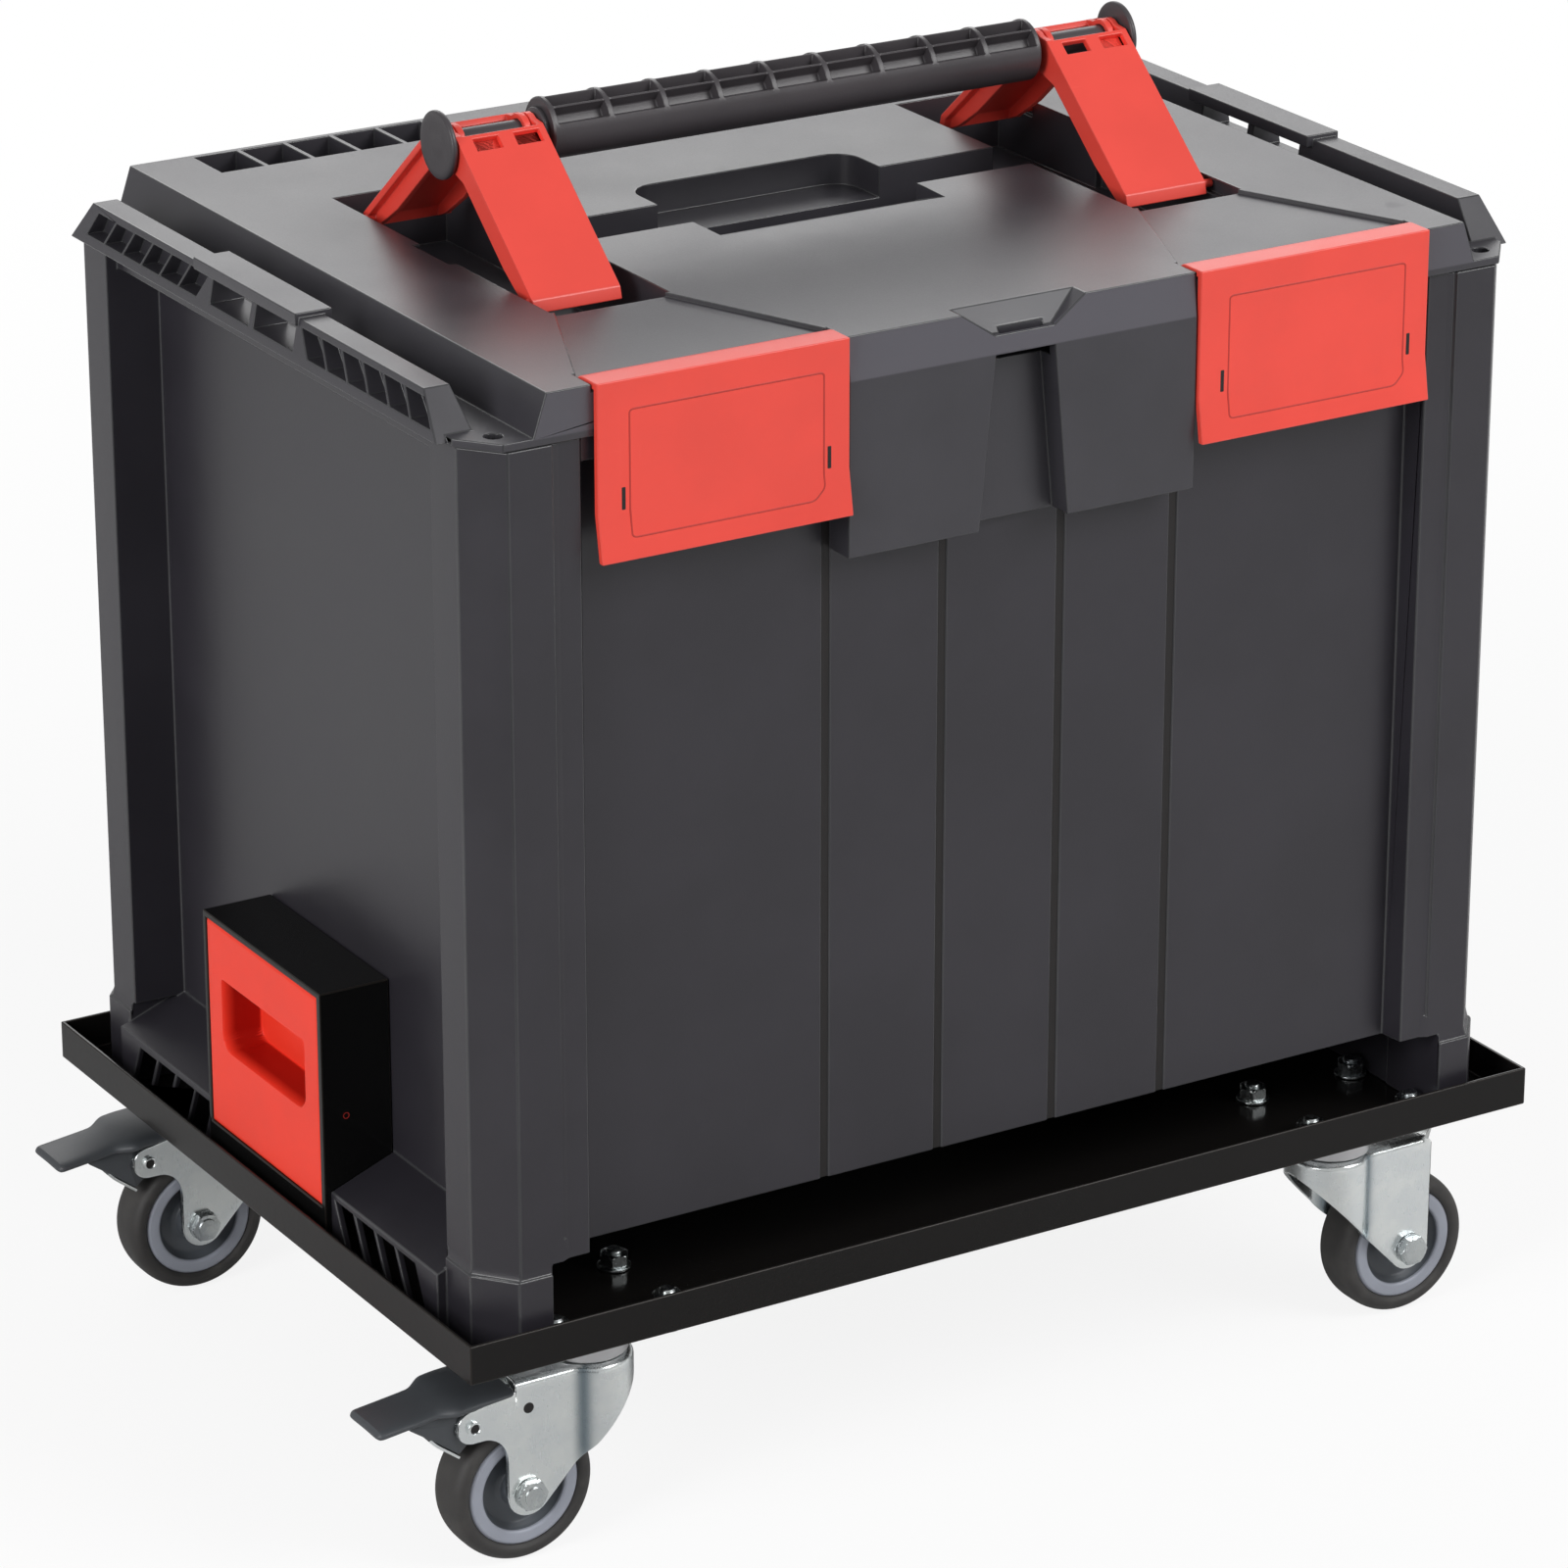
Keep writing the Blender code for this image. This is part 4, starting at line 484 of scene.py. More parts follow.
@dataclass
class Surface:
    """Points and quads of one or more surfaces."""

    points: np.ndarray
    quads: np.ndarray

    def __add__(self, other: "Surface") -> "Surface":
        """Both surfaces in one."""
        return Surface(
            np.vstack([self.points, other.points]),
            np.vstack([self.quads, other.quads + len(self.points)]),
        )

    def at(self, place: Matrix) -> "Surface":
        """The surface moved by a matrix."""
        turn = np.array(place.to_3x3())
        return Surface(self.points @ turn.T + np.array(place.translation), self.quads)

    def shifted(self, x: float, y: float, z: float) -> "Surface":
        """The surface moved by three lengths."""
        return Surface(self.points + np.array([x, y, z]), self.quads)

    def paired(self) -> "Surface":
        """The surface and its copy half a turn round Z."""
        return self + self.at(HALF_TURN)

    def flipped(self) -> "Surface":
        """The surface with its faces turned round."""
        return Surface(self.points, self.quads[:, ::-1])


def smooth(share: np.ndarray) -> np.ndarray:
    """Smooth step 3t^2 - 2t^3, where t is the share held between 0 and 1."""
    held = np.clip(share, 0.0, 1.0)
    return held * held * (3.0 - 2.0 * held)


def chord(radius: float, offset: np.ndarray) -> np.ndarray:
    """Half chord of a circle at an offset from its middle, sqrt(r^2 - d^2), and 0 outside it."""
    return np.sqrt(np.maximum(0.0, radius**2 - offset**2))


def oblong(wide: float, high: float) -> np.ndarray:
    """Corners of a rectangle about 0."""
    return np.array([[-1, -1], [1, -1], [1, 1], [-1, 1]]) * [wide / 2, high / 2]


def rod(radius: float, low: float, high: float) -> np.ndarray:
    """Profile of a plain rod between two places along its axis."""
    return np.array([[0.0, low], [radius, low], [radius, high], [0.0, high]])


def looped(outline: np.ndarray) -> np.ndarray:
    """The outline with its first point once more at its end."""
    return np.vstack([outline, outline[:1]])


def grid(points: np.ndarray, wrap: bool = False) -> Surface:
    """Quads over a grid of points: each cell joins four neighbours.

    Args:
        points: array of rows, columns and 3.
        wrap: whether the last column joins the first.

    Returns:
        The surface.
    """
    rows, cols = points.shape[:2]
    index = np.arange(rows * cols).reshape(rows, cols)
    if wrap:
        index = np.hstack([index, index[:, :1]])
    quads = np.stack([index[:-1, :-1], index[:-1, 1:], index[1:, 1:], index[1:, :-1]], axis=-1)
    return Surface(points.reshape(-1, 3), quads.reshape(-1, 4))


def rounded(corners: np.ndarray, radius: float, steps: int = 4, closed: bool = False) -> np.ndarray:
    """Rounds the corners of a polyline.

    Each corner P becomes (1-t)^2 A + 2t(1-t) P + t^2 B, where A and B lie one radius, or
    half a side at most, before and after it.

    Args:
        corners: array of points.
        radius: length cut off each side.
        steps: points per corner, less one.
        closed: whether the last point joins the first.

    Returns:
        The rounded polyline.
    """
    corners = np.asarray(corners, float)
    before, after = np.roll(corners, 1, axis=0) - corners, np.roll(corners, -1, axis=0) - corners
    t = np.linspace(0.0, 1.0, steps + 1)[None, :, None]

    def cut(side: np.ndarray) -> np.ndarray:
        """Point on a side where the rounding starts."""
        length = np.linalg.norm(side, axis=1, keepdims=True) + 1e-12
        return corners + side / length * np.minimum(radius, length * 0.49)

    start, end = cut(before)[:, None], cut(after)[:, None]
    arcs = (1 - t) ** 2 * start + 2 * t * (1 - t) * corners[:, None] + t**2 * end
    if closed:
        return arcs.reshape(-1, corners.shape[1])
    inner = arcs[1:-1].reshape(-1, corners.shape[1])
    return np.vstack([corners[:1], inner, corners[-1:]])


def turned(profile: np.ndarray, steps: int, axis: Axis) -> Surface:
    """Lathe: each (radius r, along h) of the profile goes round as (r cos a, r sin a, h).

    Args:
        profile: radius and place along the axis.
        steps: points in a full turn.
        axis: the axis.

    Returns:
        The surface.
    """
    angle = np.linspace(0.0, 2 * np.pi, steps, endpoint=False)[None, :]
    radius, along = profile[:, :1], profile[:, 1:2]
    parts = [radius * np.cos(angle), radius * np.sin(angle), along + 0.0 * angle]
    return grid(np.stack(parts, axis=-1)[..., list(axis.value)], wrap=True)


def stacked(outline: np.ndarray, levels: np.ndarray, axis: Axis) -> Surface:
    """Rings of one outline, each drawn in by its inset along the outline's normals, closed at both ends.

    Args:
        outline: closed outline, two columns.
        levels: inset and height of each ring.
        axis: direction of the height.

    Returns:
        The closed surface.
    """
    run = np.roll(outline, -1, axis=0) - np.roll(outline, 1, axis=0)
    normal = np.stack([run[:, 1], -run[:, 0]], axis=1)
    normal /= np.linalg.norm(normal, axis=1, keepdims=True) + 1e-12
    middle = outline.mean(axis=0)
    if np.sum((outline - middle) * normal) < 0:
        normal = -normal
    rings = outline[None] - levels[:, :1, None] * normal[None]
    rings = np.concatenate([rings[:1] * 0 + middle, rings, rings[:1] * 0 + middle])
    height = np.concatenate([levels[:1, 1], levels[:, 1], levels[-1:, 1]])[:, None, None]
    rings = np.concatenate([rings, height + 0.0 * rings[..., :1]], axis=-1)
    return grid(rings[..., list(axis.value)], wrap=True)


def between(front: np.ndarray, back: np.ndarray) -> Surface:
    """Closed body between two sheets on the same grid, with walls round their border."""
    rows, cols = front.shape[:2]
    index = np.arange(rows * cols).reshape(rows, cols)
    border = np.concatenate([index[0], index[1:, -1], index[-1, -2::-1], index[-2:0:-1, 0]])
    follow = np.roll(border, -1)
    far = rows * cols
    walls = np.stack([border, border + far, follow + far, follow], axis=1)
    body = grid(front) + grid(back).flipped()
    return Surface(body.points, np.vstack([body.quads, walls]))


def hexagon(across: float, height: float) -> Surface:
    """Hexagon along Z whose corners are turned off by a cone at both ends.

    The radius at angle a is the smaller of the hexagon's own, half across / cos(a mod 60 - 30),
    and the cone's, which grows from the end faces.

    Args:
        across: size across the flats.
        height: height, from 0 up.

    Returns:
        The surface.
    """
    angle = np.linspace(0.0, 2 * np.pi, 72, endpoint=False)[None, :]
    flat = across / 2 / np.cos(np.mod(angle, np.pi / 3) - np.pi / 6)
    lift = np.array([0.0, 0.0, 0.05, 0.12, 0.25, 0.75, 0.88, 0.95, 1.0, 1.0])[:, None] * height
    cone = across * 0.475 + np.minimum(lift, height - lift) * 1.9
    radius = np.minimum(flat, cone)
    radius[0], radius[-1] = 0.0, 0.0
    parts = [radius * np.cos(angle), radius * np.sin(angle), lift + 0.0 * angle]
    return grid(np.stack(parts, axis=-1), wrap=True)


def swept(path: np.ndarray, section: np.ndarray, up: Triple) -> Surface:
    """Section carried along a path, its second column along up and its first across it.

    Args:
        path: points of the path.
        section: closed outline, across and up.
        up: direction of the second column.

    Returns:
        The tube, closed at both ends.
    """
    run = np.gradient(path, axis=0)
    run /= np.linalg.norm(run, axis=1, keepdims=True)
    lift = np.array(up)[None] - run * (run @ np.array(up))[:, None]
    lift /= np.linalg.norm(lift, axis=1, keepdims=True)
    side = np.cross(run, lift)
    rings = path[:, None] + side[:, None] * section[None, :, :1] + lift[:, None] * section[None, :, 1:]
    ends = rings.mean(axis=1, keepdims=True) + 0.0 * rings
    return grid(np.concatenate([ends[:1], rings, ends[-1:]]), wrap=True)


def disc(across: float, height: float, round_off: float, dish: float, steps: int, axis: Axis) -> Surface:
    """Round button from 0 to height: flat back, rounded rim and a dished face.

    Args:
        across: radius of the rim.
        height: height of the rim.
        round_off: length cut off the rim's corners.
        dish: depth of the dish.
        steps: points in a full turn.
        axis: the axis.

    Returns:
        The surface.
    """
    near = across * 0.8
    rim = rounded(np.array([[near, 0.0], [across, 0.0], [across, height], [near, height]]), round_off)
    share, sink = np.array([0.55, 0.25, 0.0]), np.array([1.0, 0.8, 0.7])
    face = np.stack([across * share, height - dish * sink], axis=1)
    return turned(np.vstack([[[0.0, 0.0]], rim, face]), steps, axis)


# Bench


class Bench:
    """Puts meshes into the scene and hangs them on the frame's bodies."""

    @staticmethod
    def welded(
        name: str, points: np.ndarray, faces: np.ndarray, then: Callable[[bmesh.types.BMesh], Any]
    ) -> bpy.types.Mesh:
        """Smooth mesh with its doubles merged.

        Args:
            name: the mesh's name.
            points: its points, in rows.
            faces: the point numbers of its faces, in rows.
            then: what is done to it after the merging.

        Returns:
            The mesh.
        """
        mesh = bpy.data.meshes.new(name)
        mesh.from_pydata(points.tolist(), [], faces.tolist())
        work = bmesh.new()
        work.from_mesh(mesh)
        bmesh.ops.remove_doubles(work, verts=work.verts, dist=WELD)
        then(work)
        work.to_mesh(mesh)
        work.free()
        mesh.polygons.foreach_set("use_smooth", np.ones(len(mesh.polygons), bool))
        return mesh

    @classmethod
    def mesh(cls, name: str, surface: Surface, sharp: float = 35.0) -> bpy.types.Mesh:
        """Mesh of a surface, with faces outwards and edges above an angle in degrees kept sharp."""

        def outwards(work: bmesh.types.BMesh) -> None:
            """Turns the faces outwards."""
            bmesh.ops.recalc_face_normals(work, faces=work.faces)

        mesh = cls.welded(name, surface.points, surface.quads, outwards)
        mesh.set_sharp_from_angle(angle=math.radians(sharp))
        return mesh

    @staticmethod
    def bevel(piece: bpy.types.Object, width: float, angle: float, material: int = -1) -> None:
        """Rounds the piece's edges above an angle in degrees; the rounding may have its own material."""
        edges = piece.modifiers.new("edges", "BEVEL")
        edges.width, edges.segments, edges.material = width, 2, material
        edges.limit_method, edges.angle_limit = "ANGLE", math.radians(angle)
        edges.use_clamp_overlap = False

    @classmethod
    def lay(
        cls,
        name: str,
        surface: Surface,
        look: Look,
        body: str,
        slot: str,
        nodes: tuple[str, ...] = (),
        sharp: float = 35.0,
    ) -> bpy.types.Object:
        """Makes one piece.

        Args:
            name: the piece's name.
            surface: its shape.
            look: its finish.
            body: the body that it rides on.
            slot: the record's material slot; not used.
            nodes: the frame's nodes that it stands for.
            sharp: angle in degrees above which an edge stays sharp.

        Returns:
            The piece.
        """
        piece = bpy.data.objects.new(name, cls.mesh(name, surface, sharp))
        return cls.hang(piece, (look,), body, slot, nodes)

    @staticmethod
    def hang(
        piece: bpy.types.Object,
        looks: tuple[Look, ...],
        body: str,
        slot: str,
        nodes: tuple[str, ...],
    ) -> bpy.types.Object:
        """Dresses a piece, links it and lets it ride."""
        bpy.context.scene.collection.objects.link(piece)
        piece.data.materials.clear()
        for look in looks:
            piece.data.materials.append(look.material())
        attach(piece, body)
        if nodes:
            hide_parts(*nodes)
        LOG.info("%s rides on %s", piece.name, body)
        return piece

    @classmethod
    def soften(cls, node: str, look: Look, edge: Look, slot: str, width: float) -> bpy.types.Object:
        """Copy of a node with its edges rounded; the rounding has its own finish, paler and glossier: partly
        edge wear and partly a painted highlight.

        Args:
            node: the frame's node.
            look: finish of the faces.
            edge: finish of the rounded edges.
            slot: the record's material slot; not used.
            width: width of the rounding.

        Returns:
            The piece, which stands for the node.
        """

        def merge_flat(work: bmesh.types.BMesh) -> None:
            """Joins faces that lie in one plane."""
            bmesh.ops.dissolve_limit(work, angle_limit=math.radians(0.7), verts=work.verts, edges=work.edges)

        source = frame["nodes"][node]
        corners = np.empty(len(source.data.loops), int)
        source.data.loops.foreach_get("vertex_index", corners)
        mesh = cls.welded(f"{node}_skin", cls.points(source), corners.reshape(-1, 3), merge_flat)
        piece = bpy.data.objects.new(f"{node}_skin", mesh)
        cls.bevel(piece, width, 28.0, 1)
        normals = piece.modifiers.new("normals", "WEIGHTED_NORMAL")
        normals.keep_sharp, normals.weight = False, 80
        return cls.hang(piece, (look, edge), body_of(source)[0], slot, (node,))

    @staticmethod
    def points(piece: bpy.types.Object) -> np.ndarray:
        """The piece's points as an array of rows."""
        flat = np.empty(len(piece.data.vertices) * 3)
        piece.data.vertices.foreach_get("co", flat)
        return flat.reshape(-1, 3)

    @staticmethod
    def shade(piece: bpy.types.Object, share: np.ndarray) -> None:
        """Writes each point's share of the finish's painted shade colour."""
        layer = piece.data.attributes.new("shade", "FLOAT", "POINT")
        layer.data.foreach_set("value", np.ascontiguousarray(share, np.float32))

    @staticmethod
    def dress(node: str, look: Look) -> None:
        """Gives a node that stays as it is its finish."""
        source = frame["nodes"][node]
        source.data.materials.clear()
        source.data.materials.append(look.material())
        LOG.info("%s stays, as %s", node, look.name)


# The case


@dataclass
class Case:
    """Tub and lid, with the lid's hinge pins."""

    rounding: float = 0.8 * MM
    groove_x: tuple[float, ...] = (-95.5 * MM, -32.5 * MM, 32.5 * MM, 95.5 * MM)
    groove: tuple[float, float] = (3.9 * MM, 1.1 * MM)
    groove_span: tuple[float, float] = (163.4 * MM, 557.0 * MM)
    groove_depth: float = 1.8 * MM
    panel: float = 190.7 * MM
    clear: float = 0.02 * MM

    def grooves(self) -> Surface:
        """Painted shade in the panel grooves, front and rear: a slim dark box on the floor of each."""
        wide, lift = self.groove
        low, high = self.groove_span
        box = stacked(oblong(wide, lift), np.array([[0.0, low], [0.0, high]]), Axis.Z)
        depth = self.panel - self.groove_depth + lift / 2 + self.clear
        shapes = [box.shifted(CASE_X + x, end * depth, 0.0) for x in self.groove_x for end in (-1.0, 1.0)]
        return sum(shapes[1:], shapes[0])

    def build(self) -> None:
        """Softens tub and lid, paints shade into the grooves and dresses the pins."""
        Bench.soften("case_body", Look.CASE, Look.CASE_EDGE, "case_plastic", self.rounding)
        Bench.soften("lid_shell", Look.LID, Look.CASE_EDGE, "case_plastic", self.rounding * 0.8)
        Bench.lay("panel_groove_floors", self.grooves(), Look.RECESS_SHADE, "base", "case_plastic")
        for side in OUTWARDS:
            Bench.dress(f"hinge_pin_{side}", Look.PIN)
            Bench.dress(f"latch_pin_{side}", Look.PIN)


@dataclass
class Latch:
    """One flap latch with its embossed frame and two small slots."""

    side: str
    flare: float = 3.8 * MM
    flare_height: float = 22.0 * MM
    line: float = 0.9 * MM
    frame_span: tuple[float, float, float, float] = (0.125, 0.895, 0.17, 0.88)
    frame_cut: tuple[float, float] = (0.95, 0.93)
    slot_size: tuple[float, float] = (1.9 * MM, 10.5 * MM)
    slots: tuple[tuple[float, float], ...] = ((0.10, 0.66), (0.917, 0.655))

    def face(self, across: np.ndarray, down: np.ndarray) -> np.ndarray:
        """Points of the flap's outer face at shares of its width and height: flat above, flared below."""
        low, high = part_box(f"latch_{self.side}")
        x = low.x + across * (high.x - low.x)
        z = high.z - down * (high.z - low.z)
        reach = np.clip((low.z + self.flare_height - z) / self.flare_height, 0.0, 1.0)
        return np.stack([x, low.y + self.flare * (1.0 - reach), z], axis=-1)

    def build(self) -> None:
        """Softens the flap, then lays the frame line in a darker red as painted shade of the embossed frame,
        and near-black plates as painted shade in the slots on its face.
        """
        node = f"latch_{self.side}"
        Bench.soften(node, Look.RED, Look.RED_EDGE, "red_plastic", 0.7 * MM)
        left, right, top, bottom = self.frame_span
        cut_x, cut_z = right * self.frame_cut[0], bottom * self.frame_cut[1]
        corners = np.array([[left, top], [right, top], [right, cut_z], [cut_x, bottom], [left, bottom]])
        loop = looped(rounded(corners, 0.022, 6, closed=True))
        along = np.linspace(0.0, 1.0, len(loop))
        fine = np.linspace(0.0, 1.0, 220)
        path = self.face(np.interp(fine, along, loop[:, 0]), np.interp(fine, along, loop[:, 1]))
        turn = np.linspace(0.0, 2 * np.pi, 8, endpoint=False)
        section = np.stack([np.cos(turn) * self.line / 2, np.sin(turn) * self.line / 7], axis=1)
        line = swept(path, section, (0.0, -1.0, 0.0))
        Bench.lay(f"{node}_frame_line", line, Look.RED_SHADE, node, "red_plastic")
        outline = rounded(oblong(*self.slot_size), 0.4 * MM, 3, True)
        levels = np.array([[0.0, -0.4 * MM], [0.0, 0.05 * MM], [0.2 * MM, 0.08 * MM]])
        for number, (across, down) in enumerate(self.slots, 1):
            at = self.face(np.array(across), np.array(down))
            place = Matrix.Translation(at) @ Matrix.Rotation(math.pi / 2, 4, "X")
            shape = stacked(outline, levels, Axis.Z).at(place)
            Bench.lay(f"{node}_slot_{number}", shape, Look.RECESS_SHADE, node, "red_plastic")


@dataclass
class Handle:
    """Bar handle: pocketed grip on a rod, end caps and four folding legs."""

    rod_height: float = 634.0 * MM
    grip_radius: float = 15.0 * MM
    rod_radius: float = 6.0 * MM
    cells: int = 9
    rib: float = 2.6 * MM
    depth: float = 6.0 * MM
    end_round: float = 0.8 * MM
    rows: tuple[float, ...] = (-54.0, -18.0, 18.0, 54.0)
    row_half: float = 15.8

    @staticmethod
    def slopes(
        start: np.ndarray, end: np.ndarray, step: np.ndarray, plain: np.ndarray
    ) -> tuple[np.ndarray, np.ndarray]:
        """Knots of a row of cells, with a share that is 1 in a cell and 0 outside, with short slopes.

        Args:
            start: where each cell starts.
            end: where each cell ends.
            step: the four knots of a slope, from the cell's border inwards.
            plain: further places, outside the cells.

        Returns:
            The places in order, and the share at each.
        """
        rise = np.array([0.0, 0.06, 0.93, 1.0])
        start, end = start[:, None], end[:, None]
        knots = np.concatenate([start + step, (start + end) / 2, end - step[::-1]], axis=1).ravel()
        share = np.tile(np.concatenate([rise, [1.0], rise[::-1]]), len(start))
        places, shares = np.concatenate([knots, plain]), np.concatenate([share, 0.0 * plain])
        order = np.argsort(places)
        return places[order], shares[order]

    def grip(self) -> Surface:
        """Grip whose radius is R less depth times wx(x) times wa(a).

        wx is 1 inside each cell along the bar and 0 on the ribs; wa is 1 inside each row of
        cells round the top and 0 between them. Both have short slopes for the mould's draft.

        Returns:
            The surface.
        """
        low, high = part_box("handle_grip")
        half = (high.x - low.x) / 2
        pitch = (2 * half - self.rib) / self.cells
        start = -half + self.rib + pitch * np.arange(self.cells)
        rim = np.array([-half, -half + self.end_round, half - self.end_round, half])
        x, wx = self.slopes(start, start + pitch - self.rib, np.array([-0.35, 0.0, 0.5, 1.1]) * MM, rim)
        rows, turn = np.array(self.rows), np.array([-1.6, 0.0, 2.2, 4.4])
        under = np.linspace(78.0, 282.0, 30)
        angle, wa = self.slopes(rows - self.row_half, rows + self.row_half, turn, under)
        angle = np.radians(angle)
        end_round = np.where(np.abs(x) > half - self.end_round / 2, self.end_round, 0.0)
        radius = self.grip_radius - end_round[:, None] - self.depth * wx[:, None] * wa[None]
        radius = np.concatenate([radius[:1] * 0.0, radius, radius[:1] * 0.0])
        x = np.concatenate([x[:1], x, x[-1:]])
        parts = [x[:, None] + 0.0 * radius, -radius * np.sin(angle), radius * np.cos(angle)]
        return grid(np.stack(parts, axis=-1), wrap=True)

    def build(self) -> None:
        """Lays the grip, rod and caps and softens the legs."""
        place = (CASE_X, 0.0, self.rod_height)
        grip = self.grip().shifted(*place)
        Bench.lay("grip", grip, Look.GRIP, "handle", "grip_plastic", ("handle_grip",), 30.0)
        low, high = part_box("handle_rod")
        half = (high.x - low.x) / 2
        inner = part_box("handle_grip")[1].x - CASE_X
        shape = turned(rounded(rod(self.rod_radius, -half, half), 0.6 * MM, 3), 32, Axis.X)
        collar = np.array([[6.0, 0.0], [10.5, 0.0], [10.5, 2.6], [8.0, 3.4], [6.0, 3.4]]) * MM
        ring = turned(rounded(collar, 0.5 * MM, 3), 40, Axis.X)
        shape = shape + ring.shifted(inner, 0, 0) + ring.at(HALF_TURN).shifted(-inner, 0, 0)
        Bench.lay("handle_bar", shape.shifted(*place), Look.GRIP, "handle", "grip_plastic", ("handle_rod",))
        for side, turn in (("left", math.pi), ("right", 0.0)):
            node = f"handle_cap_{side}"
            low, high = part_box(node)
            cap = disc((high.z - low.z) / 2, high.x - low.x, 1.4 * MM, 0.5 * MM, 56, Axis.X)
            inside = low.x if side == "right" else high.x
            spot = Matrix.Translation((inside, 0.0, self.rod_height)) @ Matrix.Rotation(turn, 4, "Z")
            Bench.lay(f"{node}_button", cap.at(spot), Look.GRIP, "handle", "grip_plastic", (node,))
            for end in ("front", "rear"):
                Bench.soften(f"handle_leg_{end}_{side}", Look.RED, Look.RED_EDGE, "red_plastic", 0.6 * MM)


# The dolly


@dataclass
class SideLock:
    """Lock at one end of the tray: a gloss box and the red pull in it, with its finger scoop.

    The scoop's painted shade starts at one share of its depth and grows over another (shade_rise), and ends
    in the same way before the flat back (shade_fall). The sight hole has its place out along X and up.
    """

    side: str
    scoop_half: float = 43.5 * MM
    scoop_top: float = 223.1 * MM
    scoop_height: float = 37.0 * MM
    scoop_depth: float = 20.2 * MM
    corner: float = 9.0 * MM
    top_corner: float = 2.0 * MM
    wall: float = 2.6 * MM
    lip: float = 0.8 * MM
    shade_rise: tuple[float, float] = (0.06, 0.25)
    shade_fall: tuple[float, float] = (0.985, 0.05)
    shade_most: float = 0.92
    sight: tuple[float, float] = (280.7 * MM, 188.5 * MM)

    def faces(self) -> tuple[float, float]:
        """Where the pull's front and back stand along X."""
        low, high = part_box(f"lock_slider_{self.side}")
        return (high.x, low.x) if self.side == "right" else (low.x, high.x)

    def pull(self) -> Surface:
        """Closed body between a front sheet with the scoop pressed into it and a flat back.

        The scoop's wall is a smooth step over the distance inside a rounded box, and its back
        is flat. The grid is finer where the walls stand.

        Returns:
            The surface.
        """
        low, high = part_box(f"lock_slider_{self.side}")
        front, back = self.faces()
        bottom = self.scoop_top - self.scoop_height
        centre = (self.scoop_top + bottom) / 2
        near = np.linspace(-0.6 * MM, 4.2 * MM, 25)
        sides = np.concatenate([near - self.scoop_half, self.scoop_half - near])
        y = np.unique(np.concatenate([np.linspace(low.y, high.y, 110), sides]))[None, :]
        ends = np.concatenate([bottom + near, self.scoop_top - near])
        z = np.unique(np.concatenate([np.linspace(low.z, high.z, 100), ends]))[:, None]
        edge = np.minimum(np.minimum(y - low.y, high.y - y), np.minimum(z - low.z, high.z - z))
        drop = self.lip * (1.0 - chord(1.0, np.clip(1.0 - edge / self.lip, 0.0, 1.0)))
        round_off = np.where(z > centre, self.top_corner, self.corner)
        reach_y = np.abs(y) - (self.scoop_half - round_off)
        reach_z = np.abs(z - centre) - (self.scoop_height / 2 - round_off)
        outside = np.hypot(np.maximum(reach_y, 0.0), np.maximum(reach_z, 0.0))
        inside = np.minimum(np.maximum(reach_y, reach_z), 0.0)
        sunk = self.scoop_depth * smooth((round_off - outside - inside) / self.wall)
        face = np.stack([front - OUTWARDS[self.side] * (drop + sunk), y + 0.0 * z, z + 0.0 * y], axis=-1)
        rear = np.stack([back + 0.0 * drop, y + 0.0 * z, z + 0.0 * y], axis=-1)
        return between(face, rear)

    def build(self) -> None:
        """Softens the box and lays the pull and the small sight hole."""
        box, node = f"lock_housing_{self.side}", f"lock_slider_{self.side}"
        Bench.soften(box, Look.LOCK_BOX, Look.TRAY_EDGE, "tray_coat", 0.8 * MM)
        body = f"lock_{self.side}"
        pull = Bench.lay(f"{node}_pull", self.pull(), Look.RED_PULL, body, "red_plastic", (node,), 50.0)
        # Painted shade: the scoop's walls turn towards the darker red with depth, where the recess lies in
        # shade.
        depth = np.abs(self.faces()[0] - Bench.points(pull)[:, 0]) / self.scoop_depth
        rise = np.clip((depth - self.shade_rise[0]) / self.shade_rise[1], 0.0, 1.0)
        fall = np.clip((self.shade_fall[0] - depth) / self.shade_fall[1], 0.0, 1.0)
        Bench.shade(pull, rise * fall * self.shade_most)
        x, y, z = CASE_X + OUTWARDS[self.side] * self.sight[0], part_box(box)[0].y, self.sight[1]
        rim = np.array([[1.7, -0.5], [1.7, 0.06], [2.5, 0.12], [3.0, 0.0], [3.0, -0.5]]) * MM
        ring = turned(looped(rim), 32, Axis.Y).at(HALF_TURN).shifted(x, y, z)
        Bench.lay(f"{box}_sight_rim", ring, Look.LOCK_BOX, "base", "tray_coat")
        # The pull seen in the sight hole, in the darker red of painted shade.
        dot = disc(1.75 * MM, 0.5 * MM, 0.1 * MM, 0.1 * MM, 24, Axis.Y).at(HALF_TURN)
        Bench.lay(f"{box}_sight", dot.shifted(x, y + 0.46 * MM, z), Look.RED_SHADE, "base", "red_plastic")


@dataclass
class Tray:
    """Folded sheet tray."""

    rounding: float = 0.7 * MM

    def build(self) -> None:
        """Softens the tray's folds."""
        Bench.soften("dolly_tray", Look.TRAY, Look.TRAY_EDGE, "tray_coat", self.rounding)


